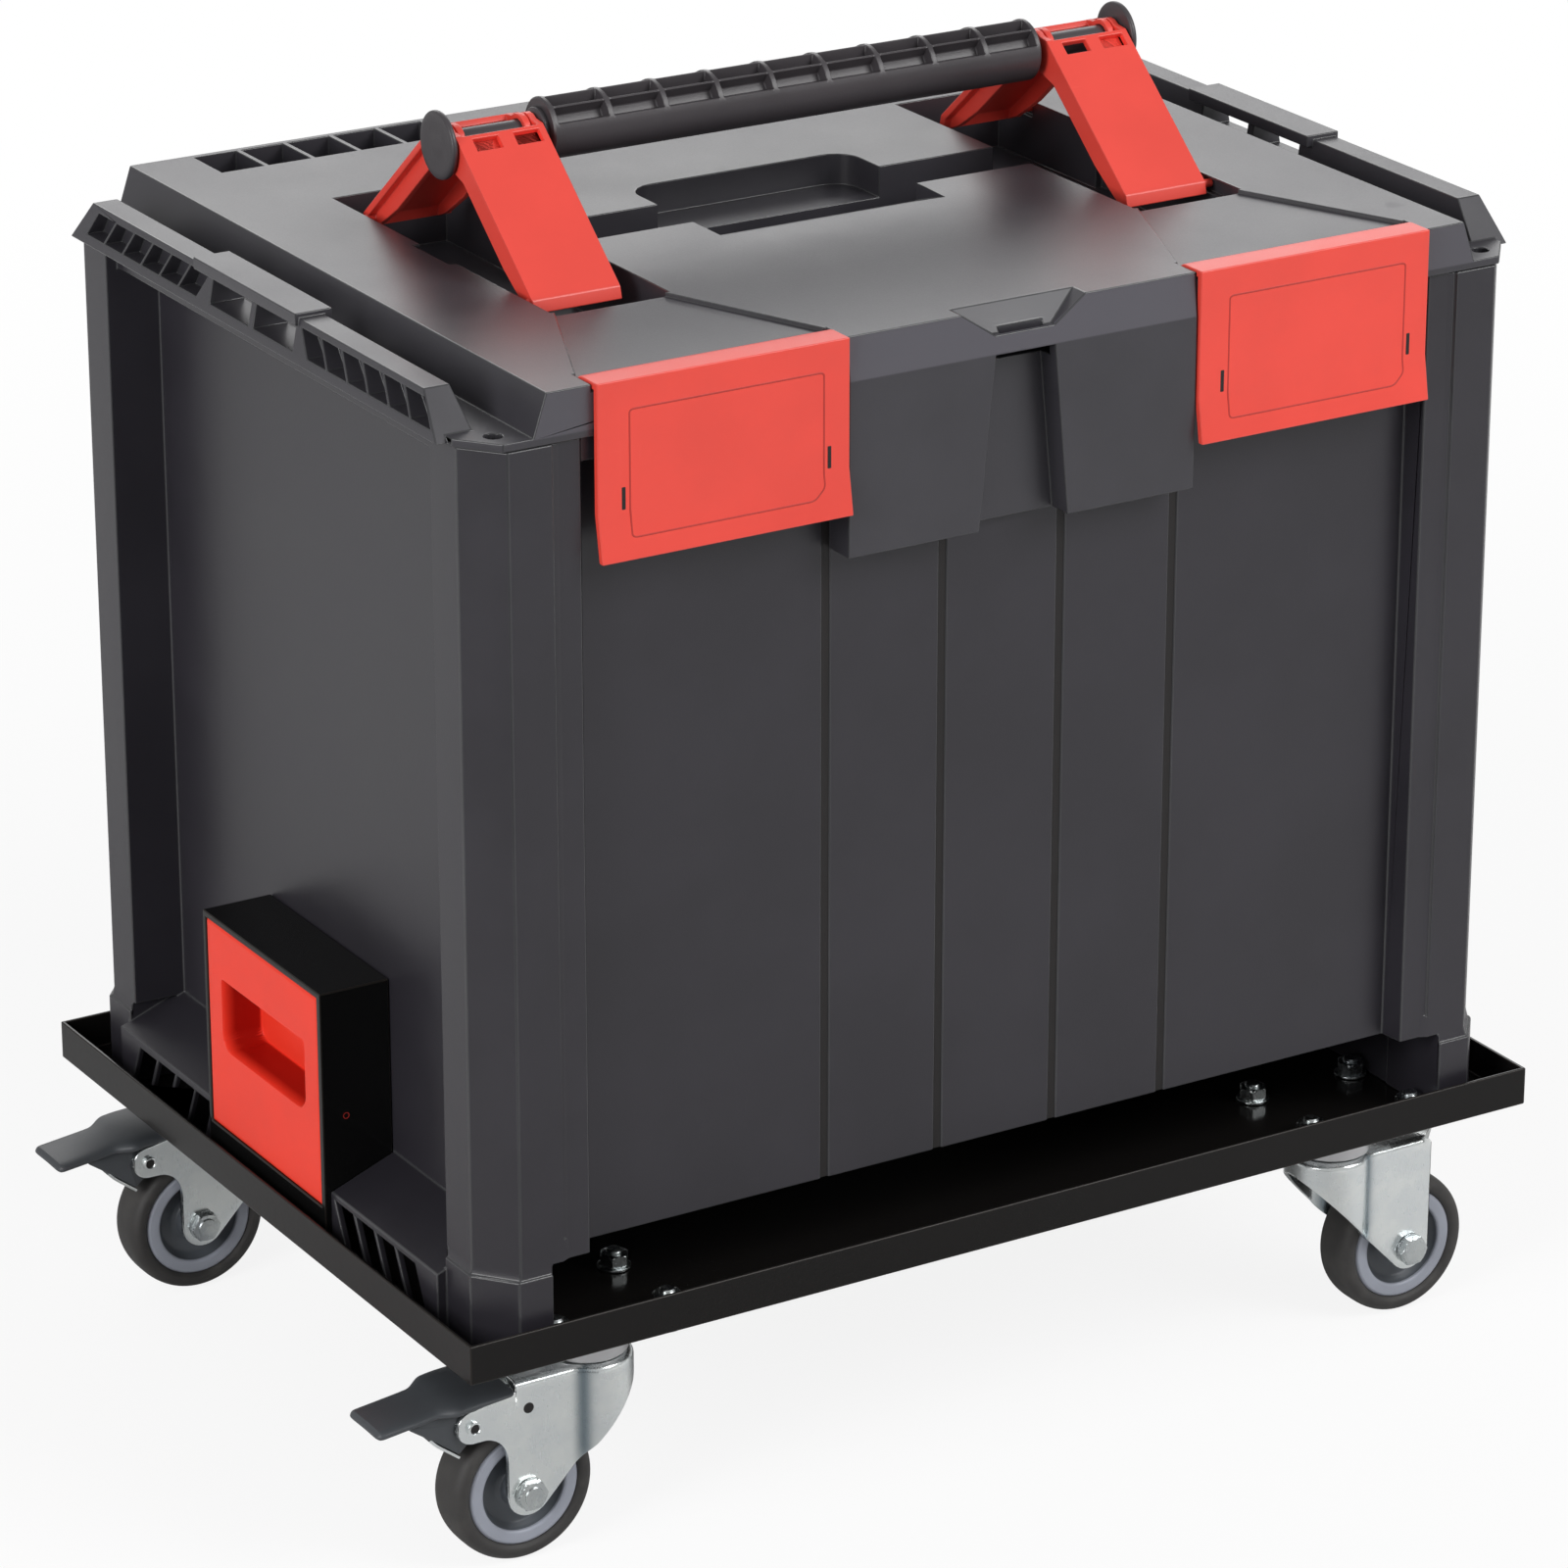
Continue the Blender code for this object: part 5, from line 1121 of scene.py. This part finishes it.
@dataclass
class Castor:
    """One swivel castor; the left pair trails outwards and has a brake pedal.

    Along the fork, swing is where its cheek starts and stops to swing out. Its bend carries a painted shade,
    darker about one place, over a width (fold), from a height on and over a further height (fold_fade). The
    ear has its place along, height and radius, and the cheek's hole, shown by a dark disc of painted shade,
    its radius and height.
    """

    corner: str
    braked: bool
    inset_x: float = 86.0 * MM
    inset_y: float = 46.0 * MM
    trail: float = 40.0 * MM
    wheel: float = 37.5 * MM
    top: float = 118.0 * MM
    plate: tuple[float, float] = (78.0 * MM, 68.0 * MM)
    cheek: float = 16.5 * MM
    sheet: float = 2.5 * MM
    bend: float = 4.0 * MM
    crown: float = 22.5 * MM
    crown_top: float = 96.9 * MM
    crown_fall: float = 3.0 * MM
    nose_low: float = 86.0 * MM
    swing: tuple[float, float] = (18.0 * MM, 5.0 * MM)
    boss: float = 11.5 * MM
    lower_turn: float = 223.5
    ear: Triple = (69.2524 * MM, 79.2768 * MM, 8.5 * MM)
    ear_step: float = 4.0 * MM
    hollow: float = 12.5 * MM
    fold: tuple[float, float] = (11.5 * MM, 3.6 * MM)
    fold_fade: tuple[float, float] = (30.0 * MM, 25.0 * MM)
    hole: tuple[float, float] = (2.7 * MM, 82.0 * MM)

    def home(self) -> Matrix:
        """Place and turn of the castor: the swivel axis, with the wheel trailing along local +X."""
        side = -1.0 if self.corner.endswith("l") else 1.0
        end = -1.0 if self.corner.startswith("f") else 1.0
        low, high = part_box("dolly_tray")
        x = CASE_X + side * ((high.x - low.x) / 2 - self.inset_x)
        y = end * ((high.y - low.y) / 2 - self.inset_y)
        turn = Matrix.Rotation(math.pi if self.braked else 0.0, 4, "Z")
        return Matrix.Translation((x, y, 0.0)) @ turn

    def cheek_ends(self) -> tuple[float, float]:
        """Where the plain cheek ends along local X, and where its crown does."""
        return self.trail + self.boss, self.trail + self.boss * 0.6

    def fork_plan(self) -> tuple[np.ndarray, np.ndarray]:
        """Plan of one cheek and of half the nose, from the cheek's free end on.

        The cheek runs straight, then swings out by a smooth step to a circle about the king pin.

        Returns:
            The places along and across.
        """
        ear_x, _, ear_r = self.ear
        end, shoulder = self.cheek_ends()
        start, stop = self.swing
        boss_turn = self.trail + self.boss * np.cos(np.radians(np.linspace(0.0, 360.0 - self.lower_turn, 14)))
        straight = [end, shoulder, 29.0 * MM, 23.0 * MM]
        x = np.concatenate([straight, boss_turn[1:], np.linspace(start, stop, 14)])
        if self.braked:
            turn = np.radians(np.linspace(0.0, 180.0, 19))
            scallop = end + self.hollow * (1.0 - np.cos(turn[:10]))
            ear = ear_x + ear_r * np.cos(turn)
            x = np.concatenate([x, [shoulder + 0.02 * MM, end + 0.02 * MM], scallop[1:], ear])
        x = np.unique(np.round(x, 7))[::-1]
        swing = smooth((start - x) / (start - stop))
        y = self.cheek * (1.0 - swing) + chord(self.crown, x) * swing
        turn = np.linspace(math.acos(stop / self.crown), math.pi, 26)[1:]
        return np.append(x, self.crown * np.cos(turn)), np.append(y, self.crown * np.sin(turn))

    def fork_edges(self, x: np.ndarray) -> tuple[np.ndarray, np.ndarray]:
        """Heights of the fork's edges at places along its plan.

        The lower edge rounds the axle boss and slants up to the nose. On a braked castor both edges
        go on round the ear, and a scallop joins the ear to the boss.

        Args:
            x: the places.

        Returns:
            The upper and the lower edge.
        """
        ear_x, ear_z, ear_r = self.ear
        end, shoulder = self.cheek_ends()
        tangent = math.radians(self.lower_turn)
        from_x = self.trail + self.boss * math.cos(tangent)
        from_z = self.wheel + self.boss * math.sin(tangent)
        rise = (self.nose_low - from_z) / (from_x + self.crown)
        boss_low = self.wheel - chord(self.boss, x - self.trail)
        low = np.where(x < from_x, from_z + (from_x - x) * rise, boss_low)
        high = self.crown_top - self.crown_fall * np.clip((x - shoulder) / (end - shoulder), 0.0, 1.0) ** 2
        if self.braked:
            arc, valley = chord(ear_r, x - ear_x), end + self.hollow
            step = self.ear_step * np.clip((ear_x - x) / (ear_x - shoulder), 0.0, 1.0)
            high = np.where(x > shoulder + 0.01 * MM, ear_z + ear_r + step, self.crown_top)
            high = np.where(x > ear_x, ear_z + arc, high)
            scallop = ear_z - ear_r - self.hollow + chord(self.hollow, x - valley)
            under = np.where(x > valley, ear_z - arc, scallop)
            under = np.where((x > valley) & (x < ear_x), ear_z - ear_r, under)
            low = np.where(x > end + 0.01 * MM, under, low)
        return high, np.minimum(low, high - 0.5 * MM)

    def fork(self) -> Surface:
        """Pressed fork as one sheet.

        Columns go along one cheek, round the nose and back along the other cheek. Rows go from the
        crown's middle line out to its edge, over a bend, and straight down to the lower edge.

        Returns:
            The open sheet, facing outwards.
        """
        x, y = self.fork_plan()
        high, low = self.fork_edges(x)
        roofed = x <= self.cheek_ends()[1] + 1e-6
        bend = np.minimum(self.bend, (high - low) * 0.6) * roofed
        middle = np.maximum(x, 0.0)
        tight = bend / np.hypot(x - middle, y)
        flat = np.where(roofed, np.array([0.0, 0.35, 0.7, 1.0])[:, None] * (1.0 - tight), 1.0)
        quarter = np.linspace(0.0, np.pi / 2, 6)[1:, None]
        down = np.linspace(0.0, 1.0, 15)[1:, None]
        down_z = (high - bend) * (1.0 - down) + low * down
        scale = np.vstack([flat, 1.0 - tight * (1.0 - np.sin(quarter)), 1.0 + 0.0 * down_z])
        z = np.vstack([high + 0.0 * flat, high - bend * (1.0 - np.cos(quarter)), down_z])
        points = np.stack([middle + (x - middle) * scale, y * scale, z], axis=-1)
        far = points[:, -2::-1] * np.array([1.0, -1.0, 1.0])
        return grid(np.concatenate([points, far], axis=1))

    def lay_fork(self) -> None:
        """Lays the fork's sheet, gives it its thickness and breaks its cut edge."""
        node, body = f"castor_fork_{self.corner}", f"swivel_{self.corner}"
        shape = self.fork().at(self.home())
        piece = Bench.lay(f"{node}_pressing", shape, Look.FORK, body, "zinc", (node,), 40.0)
        mesh = piece.data
        local = Bench.points(piece) - np.array(self.home().translation)
        along = local[:, 0] * (-1.0 if self.braked else 1.0)
        outside = np.abs(local[:, 1]) > self.cheek - 0.5 * MM
        # Painted shade: a darker stripe down the outside of the bend, weaker lower down.
        painted_band = np.exp(-(((along - self.fold[0]) / self.fold[1]) ** 2)) * outside
        Bench.shade(piece, painted_band * np.clip((local[:, 2] - self.fold_fade[0]) / self.fold_fade[1], 0.35, 1.0))
        crown = max(mesh.polygons, key=lambda face: face.center.z)
        if crown.normal.z < 0.0:
            mesh.flip_normals()
        wall = piece.modifiers.new("sheet", "SOLIDIFY")
        wall.thickness, wall.offset, wall.use_even_offset = self.sheet, -1.0, True
        Bench.bevel(piece, 0.5 * MM, 55.0)

    def lay_plate(self) -> None:
        """Lays the top plate, with the ball race's two pressed dishes and the king pin's rivet."""
        outline = rounded(oblong(*self.plate), 7 * MM, 6, True)
        top = self.top - 0.3 * MM
        levels = np.array([[0.5, -3.0], [0.0, -2.5], [0.0, -0.5], [0.5, 0.0]]) * MM + [0.0, top]
        plate = stacked(outline, levels, Axis.Z)
        dish = [[0, -2.9], [27, -2.9], [27, -7.0], [24, -10.4], [20.3, -11.4], [20.3, -20.4], [0, -20.4]]
        race = turned(rounded(np.array(dish) * MM, 1.2 * MM, 4), 56, Axis.Z).shifted(0, 0, top)
        pin = [[0, -8.0], [6, -8.0], [6, -12.3], [10.8, -12.5], [10.6, -14.4], [6.0, -15.3], [0, -15.4]]
        rivet = turned(rounded(np.array(pin) * MM, 0.8 * MM, 4), 40, Axis.Z).shifted(0, 0, top - 11.5 * MM)
        node = f"castor_plate_{self.corner}"
        shape = (plate + race + rivet).at(self.home())
        # The plate takes the darker pin steel as painted shade: plate and race sit in the shade under the
        # tray.
        Bench.lay(f"{node}_pressing", shape, Look.PIN, "base", "zinc", (node,))

    def lay_bolts(self) -> None:
        """Lays each plate bolt: hexagon head below, nut with a threaded end above the tray's floor."""
        for number in range(1, 5):
            node = f"castor_bolt_{self.corner}_{number}"
            low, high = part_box(node)
            spot = ((low.x + high.x) / 2, (low.y + high.y) / 2, low.z)
            length = high.z - low.z
            along = np.linspace(0.0, length - 0.5 * MM, 60)
            thread = 3.85 * MM + 0.15 * MM * np.sin(along / (1.25 * MM) * 2 * np.pi)
            shank = np.stack([thread, along], axis=1)
            shank = np.vstack([[[0.0, 0.0]], shank, [[3.2 * MM, length], [0.0, length]]])
            head, nut = hexagon(12.6 * MM, 5.0 * MM), hexagon(12.6 * MM, 6.5 * MM)
            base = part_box("dolly_tray")[0].z + 2.3 * MM - low.z
            washer = disc(8.2 * MM, 1.2 * MM, 0.3 * MM, 0.0, 40, Axis.Z)
            nut = nut.shifted(0, 0, base + 1.0 * MM) + washer.shifted(0, 0, base)
            shape = turned(shank, 20, Axis.Z) + head + nut
            shape = shape.at(Matrix.Rotation(0.5 * number, 4, "Z")).shifted(*spot)
            Bench.lay(f"{node}_set", shape, Look.NUT, "base", "zinc", (node,), 28.0)

    def lay_wheel(self) -> None:
        """Lays tyre, core, rim ring and axle by turning their profiles about the wheel's axis."""
        body = f"wheel_{self.corner}"
        hub = self.home() @ Matrix.Translation((self.trail, 0.0, self.wheel))
        side = [[28.6, 9.6], [29.3, 10.9], [31.2, 12.3], [34.2, 12.2], [36.6, 9.6], [37.4, 5.5]]
        side = np.array(side) * MM
        inner = np.array([[28.0, -7.0], [28.0, 7.0]]) * MM
        loop = rounded(np.vstack([side, [[self.wheel, 0.0]], side[::-1] * [1, -1], inner]), 2.2 * MM, 5, True)
        tyre = turned(looped(loop), 96, Axis.Y).at(hub)
        node = f"tyre_{self.corner}"
        Bench.lay(f"{node}_band", tyre, Look.TYRE, body, "tyre_rubber", (node,), 60.0)
        side = [[0.0, 12.5], [8.6, 12.5], [9.6, 11.5], [10.4, 6.4], [13.0, 5.4], [19.0, 5.6]]
        side = np.array(side + [[21.4, 8.4], [22.0, 10.0], [29.0, 10.0]]) * MM
        loop = rounded(np.vstack([side, side[::-1] * [1, -1]]), 0.9 * MM, 4)
        core = turned(loop, 72, Axis.Y).at(hub)
        node = f"wheel_core_{self.corner}"
        Bench.lay(f"{node}_disc", core, Look.CORE, body, "wheel_core", (node,))
        rim = [[21.8, 9.0], [21.8, 10.6], [22.8, 11.3], [27.6, 11.3], [28.8, 10.2], [28.8, 9.0]]
        ring = turned(looped(rounded(np.array(rim) * MM, 0.5 * MM, 3, True)), 96, Axis.Y).paired()
        Bench.lay(f"rim_ring_{self.corner}", ring.at(hub), Look.RING, body, "wheel_core")
        self.lay_axle(hub)

    def lay_axle(self, hub: Matrix) -> None:
        """Lays the axle: bolt head with a round face on one side, nut and thread end on the other."""
        node = f"axle_{self.corner}"
        low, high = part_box(node)
        reach = (high.y - low.y) / 2
        seat = self.cheek + 0.3 * MM
        shape = turned(rounded(rod(5.0 * MM, -reach + 0.5 * MM, reach), 0.7 * MM, 3), 28, Axis.Y)
        head, nut = hexagon(14.0 * MM, 5.0 * MM), hexagon(14.0 * MM, 4.0 * MM)
        far = Matrix.Translation((0.0, seat, 0.0)) @ Matrix.Rotation(-math.pi / 2, 4, "X")
        near = Matrix.Translation((0.0, -seat, 0.0)) @ Matrix.Rotation(math.pi / 2, 4, "X")
        face = disc(5.9 * MM, 0.5 * MM, 0.2 * MM, 0.2 * MM, 36, Axis.Z).shifted(0, 0, 4.6 * MM)
        ring = disc(7.9 * MM, 0.5 * MM, 0.15 * MM, 0.0, 44, Axis.Z)
        shape = shape + (nut + ring).at(far) + (head + face + ring).at(near)
        body = body_of(frame["nodes"][node])[0]
        Bench.lay(f"{node}_set", shape.at(hub), Look.NUT, body, "zinc", (node,), 28.0)

    def pedal(self) -> Surface:
        """Pedal as a closed body between an upper and a lower sheet over its plan.

        The half width falls by a smooth step from the wide tail, which lies over the fork's ears,
        to the tread, and the corners of tail and tip are quarter rounds. The heights of both sheets
        follow smoothed polylines, gently down to the tip. A web joins the plate to the pin's eye.

        Returns:
            The surface, about the pedal's pivot.
        """
        start, tip, tail, wide, corner = -20.5 * MM, 49.0 * MM, 21.5 * MM, 15.7 * MM, 4.0 * MM
        s = np.linspace(0.0, 1.0, 120)
        x = (start + (tip - start) * (s - np.sin(2 * np.pi * s) / (2 * np.pi) * 0.8))[:, None]
        turn = np.clip(np.maximum(x - (tip - corner), start + corner - x) / corner, 0.0, 1.0)
        width = tail + (wide - tail) * smooth((x - 8 * MM) / (11 * MM)) - corner * (1.0 - chord(1.0, turn))
        v = np.sin(np.linspace(-np.pi / 2, np.pi / 2, 41))[None]
        crest = rounded(np.array([[-20.5, 16.2], [6.0, 15.6], [18.0, 12.6], [49.0, 9.0]]) * MM, 7 * MM, 6)
        sole = rounded(np.array([[-20.5, 13.0], [0.0, 10.6], [14.0, 8.4], [49.0, 4.4]]) * MM, 4 * MM, 6)
        crest, sole = (np.interp(x, line[:, 0], line[:, 1]) for line in (crest, sole))
        ends = np.clip((tip - x) / (1.8 * MM), 0.0, 1.0) * np.clip((x - start) / (1.2 * MM), 0.0, 1.0)
        thick = (crest - sole) / 2 * chord(1.0, v**4) * np.sqrt(ends)
        middle = (crest + sole) / 2 - (v * v) * 0.4 * MM
        plan = [x + 0 * v, width * v]
        upper, lower = (np.stack([*plan, middle + way * thick], axis=-1) for way in (1.0, -1.0))
        return between(upper, lower) + self.pedal_web()

    @staticmethod
    def pedal_web() -> Surface:
        """Eye round the pedal's pin, and the web that joins it to the plate."""
        half = 13.6 * MM
        eye = turned(rounded(rod(8.0 * MM, -half, half), 0.8 * MM, 3), 40, Axis.Y)
        web = [[-5, 3], [0, -8], [6, -13.6], [19, -3.6], [32, 5.6], [32, 8], [14, 10.5], [2, 12], [-3, 8]]
        levels = np.array([[0.6, -13.6], [0.0, -13.0], [0.0, 13.0], [0.6, 13.6]]) * MM
        return eye + stacked(rounded(np.array(web)[:, ::-1] * MM, 1.2 * MM, 4, True), levels, Axis.Y)

    def lay_pedal(self) -> None:
        """Lays the pedal, its pin, the plated brake strip under it, and dark rods as painted shade in the
        pin's dished ends and in the cheeks' holes.
        """
        node, body = f"brake_pedal_{self.corner}", f"brake_{self.corner}"
        pivot = self.home() @ Matrix.Translation((self.ear[0], 0.0, self.ear[1]))
        Bench.lay(f"{node}_tread", self.pedal().at(pivot), Look.PEDAL, body, "pedal_plastic", (node,), 50.0)
        end = np.array([[0, 18.0], [2.3, 18.0], [2.6, 18.6], [3.6, 18.2]]) * MM
        pin = rounded(np.vstack([end * [1, -1], end[::-1]]), 0.2 * MM, 3)
        Bench.lay(f"{node}_pin", turned(pin, 28, Axis.Y).at(pivot), Look.ZINC, body, "zinc")
        # Painted shade: a dark rod shows in the pin's dished ends.
        bore = turned(rod(2.2 * MM, -18.1 * MM, 18.1 * MM), 24, Axis.Y)
        Bench.lay(f"{node}_pin_bore", bore.at(pivot), Look.RECESS_SHADE, body, "pedal_plastic")
        path = rounded(np.array([[5.6, 0, -15.6], [17.5, 0, -6.4], [21.0, 0, -2.6]]) * MM, 3 * MM, 5)
        section = rounded(oblong(26.0 * MM, 1.4 * MM), 0.4 * MM, 2, True)
        strip = swept(path, section, (0.0, 0.0, 1.0))
        Bench.lay(f"{node}_strip", strip.at(pivot), Look.ZINC, body, "zinc")
        # Painted shade: a short dark rod in each cheek stands for the shade in its hole.
        radius, height = self.hole
        spot = self.home() @ Matrix.Translation((self.trail, 0.0, height))
        inner, outer = self.cheek - self.sheet - 0.06 * MM, self.cheek + 0.06 * MM
        hole = turned(rod(radius, inner, outer), 28, Axis.Y).paired().at(spot)
        Bench.lay(f"castor_fork_{self.corner}_holes", hole, Look.RECESS_SHADE, f"swivel_{self.corner}", "zinc")

    def build(self) -> None:
        """Lays the whole castor."""
        self.lay_plate()
        self.lay_bolts()
        self.lay_fork()
        self.lay_wheel()
        if self.braked:
            self.lay_pedal()


# The studio


def put_up(name: str, device: bpy.types.ID, place: Triple, aim: Triple) -> bpy.types.Object:
    """Stands a lamp or camera at a place and turns it to its aim."""
    stand = bpy.data.objects.new(name, device)
    stand.location = place
    stand.rotation_euler = (Vector(aim) - Vector(place)).to_track_quat("-Z", "Y").to_euler()
    bpy.context.scene.collection.objects.link(stand)
    return stand


@dataclass(frozen=True)
class SoftBox:
    """One large soft lamp."""

    name: str
    place: Triple
    aim: Triple
    size: tuple[float, float]
    power: float

    def build(self) -> None:
        """Puts the lamp up and turns it to its aim."""
        lamp = bpy.data.lights.new(self.name, "AREA")
        lamp.shape = "RECTANGLE"
        lamp.size, lamp.size_y = self.size
        lamp.energy = self.power
        put_up(self.name, lamp, self.place, self.aim)


@dataclass
class Studio:
    """Camera, lamps, white surround and floor."""

    eye: Triple = (-1.5403, -2.5642, 1.4678)
    aim: Triple = (0.0169, 0.0, 0.2788)
    lens: float = 149.7
    ambient: float = 0.36
    sheen: float = 0.5
    lamps: tuple[SoftBox, ...] = (
        SoftBox("key", (1.5, -2.2, 2.3), (0.0, 0.0, 0.35), (1.6, 1.6), 54.0),
        SoftBox("fill", (-2.6, -0.9, 1.3), (0.0, 0.0, 0.3), (1.3, 1.6), 38.0),
        SoftBox("back", (1.2, 2.6, 1.9), (0.0, 0.0, 0.5), (2.6, 1.6), 27.0),
    )

    def build(self) -> None:
        """Builds the set."""
        for lamp in self.lamps:
            lamp.build()
        self.surround()
        self.floor()
        view = bpy.data.cameras.new("view")
        view.lens, view.sensor_width, view.clip_end = self.lens, 36.0, 50.0
        bpy.context.scene.camera = put_up("view", view, self.eye, self.aim)
        bpy.context.scene.view_settings.view_transform = "Standard"

    def surround(self) -> None:
        """White where the camera looks at it, softer in gloss, and ambient light elsewhere."""
        world = bpy.data.worlds.new("surround")
        world.use_nodes = True
        bpy.context.scene.world = world
        sheet = Sheet(world.node_tree)
        seen, mirrored = sheet.ray("Is Camera Ray"), sheet.ray("Is Glossy Ray")
        strength = seen * (1.0 - self.ambient) + mirrored * (self.sheen - self.ambient) + self.ambient
        light = sheet.add("ShaderNodeBackground", None, {"Color": (1.0, 1.0, 1.0, 1.0), "Strength": strength})
        sheet.add("ShaderNodeOutputWorld", None, {"Surface": light})

    def floor(self) -> None:
        """Round pale floor, flat, from 0 out to 9 m."""
        profile = np.stack([np.linspace(0.0, 9.0, 8), np.zeros(8)], axis=1)
        piece = bpy.data.objects.new("studio_floor", Bench.mesh("studio_floor", turned(profile, 64, Axis.Z)))
        if piece.data.polygons[0].normal.z < 0:
            piece.data.flip_normals()
        piece.data.materials.append(Look.FLOOR.material())
        bpy.context.scene.collection.objects.link(piece)


def clear_start() -> None:
    """Takes away what Blender starts with, apart from the frame."""
    for name in ("Cube", "Light", "Camera"):
        old = bpy.data.objects.get(name)
        if old is not None:
            bpy.data.objects.remove(old, do_unlink=True)


def main() -> None:
    """Builds the assemblies in order."""
    logging.basicConfig(level=logging.INFO, format="%(name)s: %(message)s")
    clear_start()
    Studio().build()
    Case().build()
    for side in OUTWARDS:
        Latch(side).build()
        SideLock(side).build()
    Handle().build()
    Tray().build()
    for corner in ("fl", "fr", "bl", "br"):
        Castor(corner, corner.endswith("l")).build()


if __name__ == "__main__":
    main()
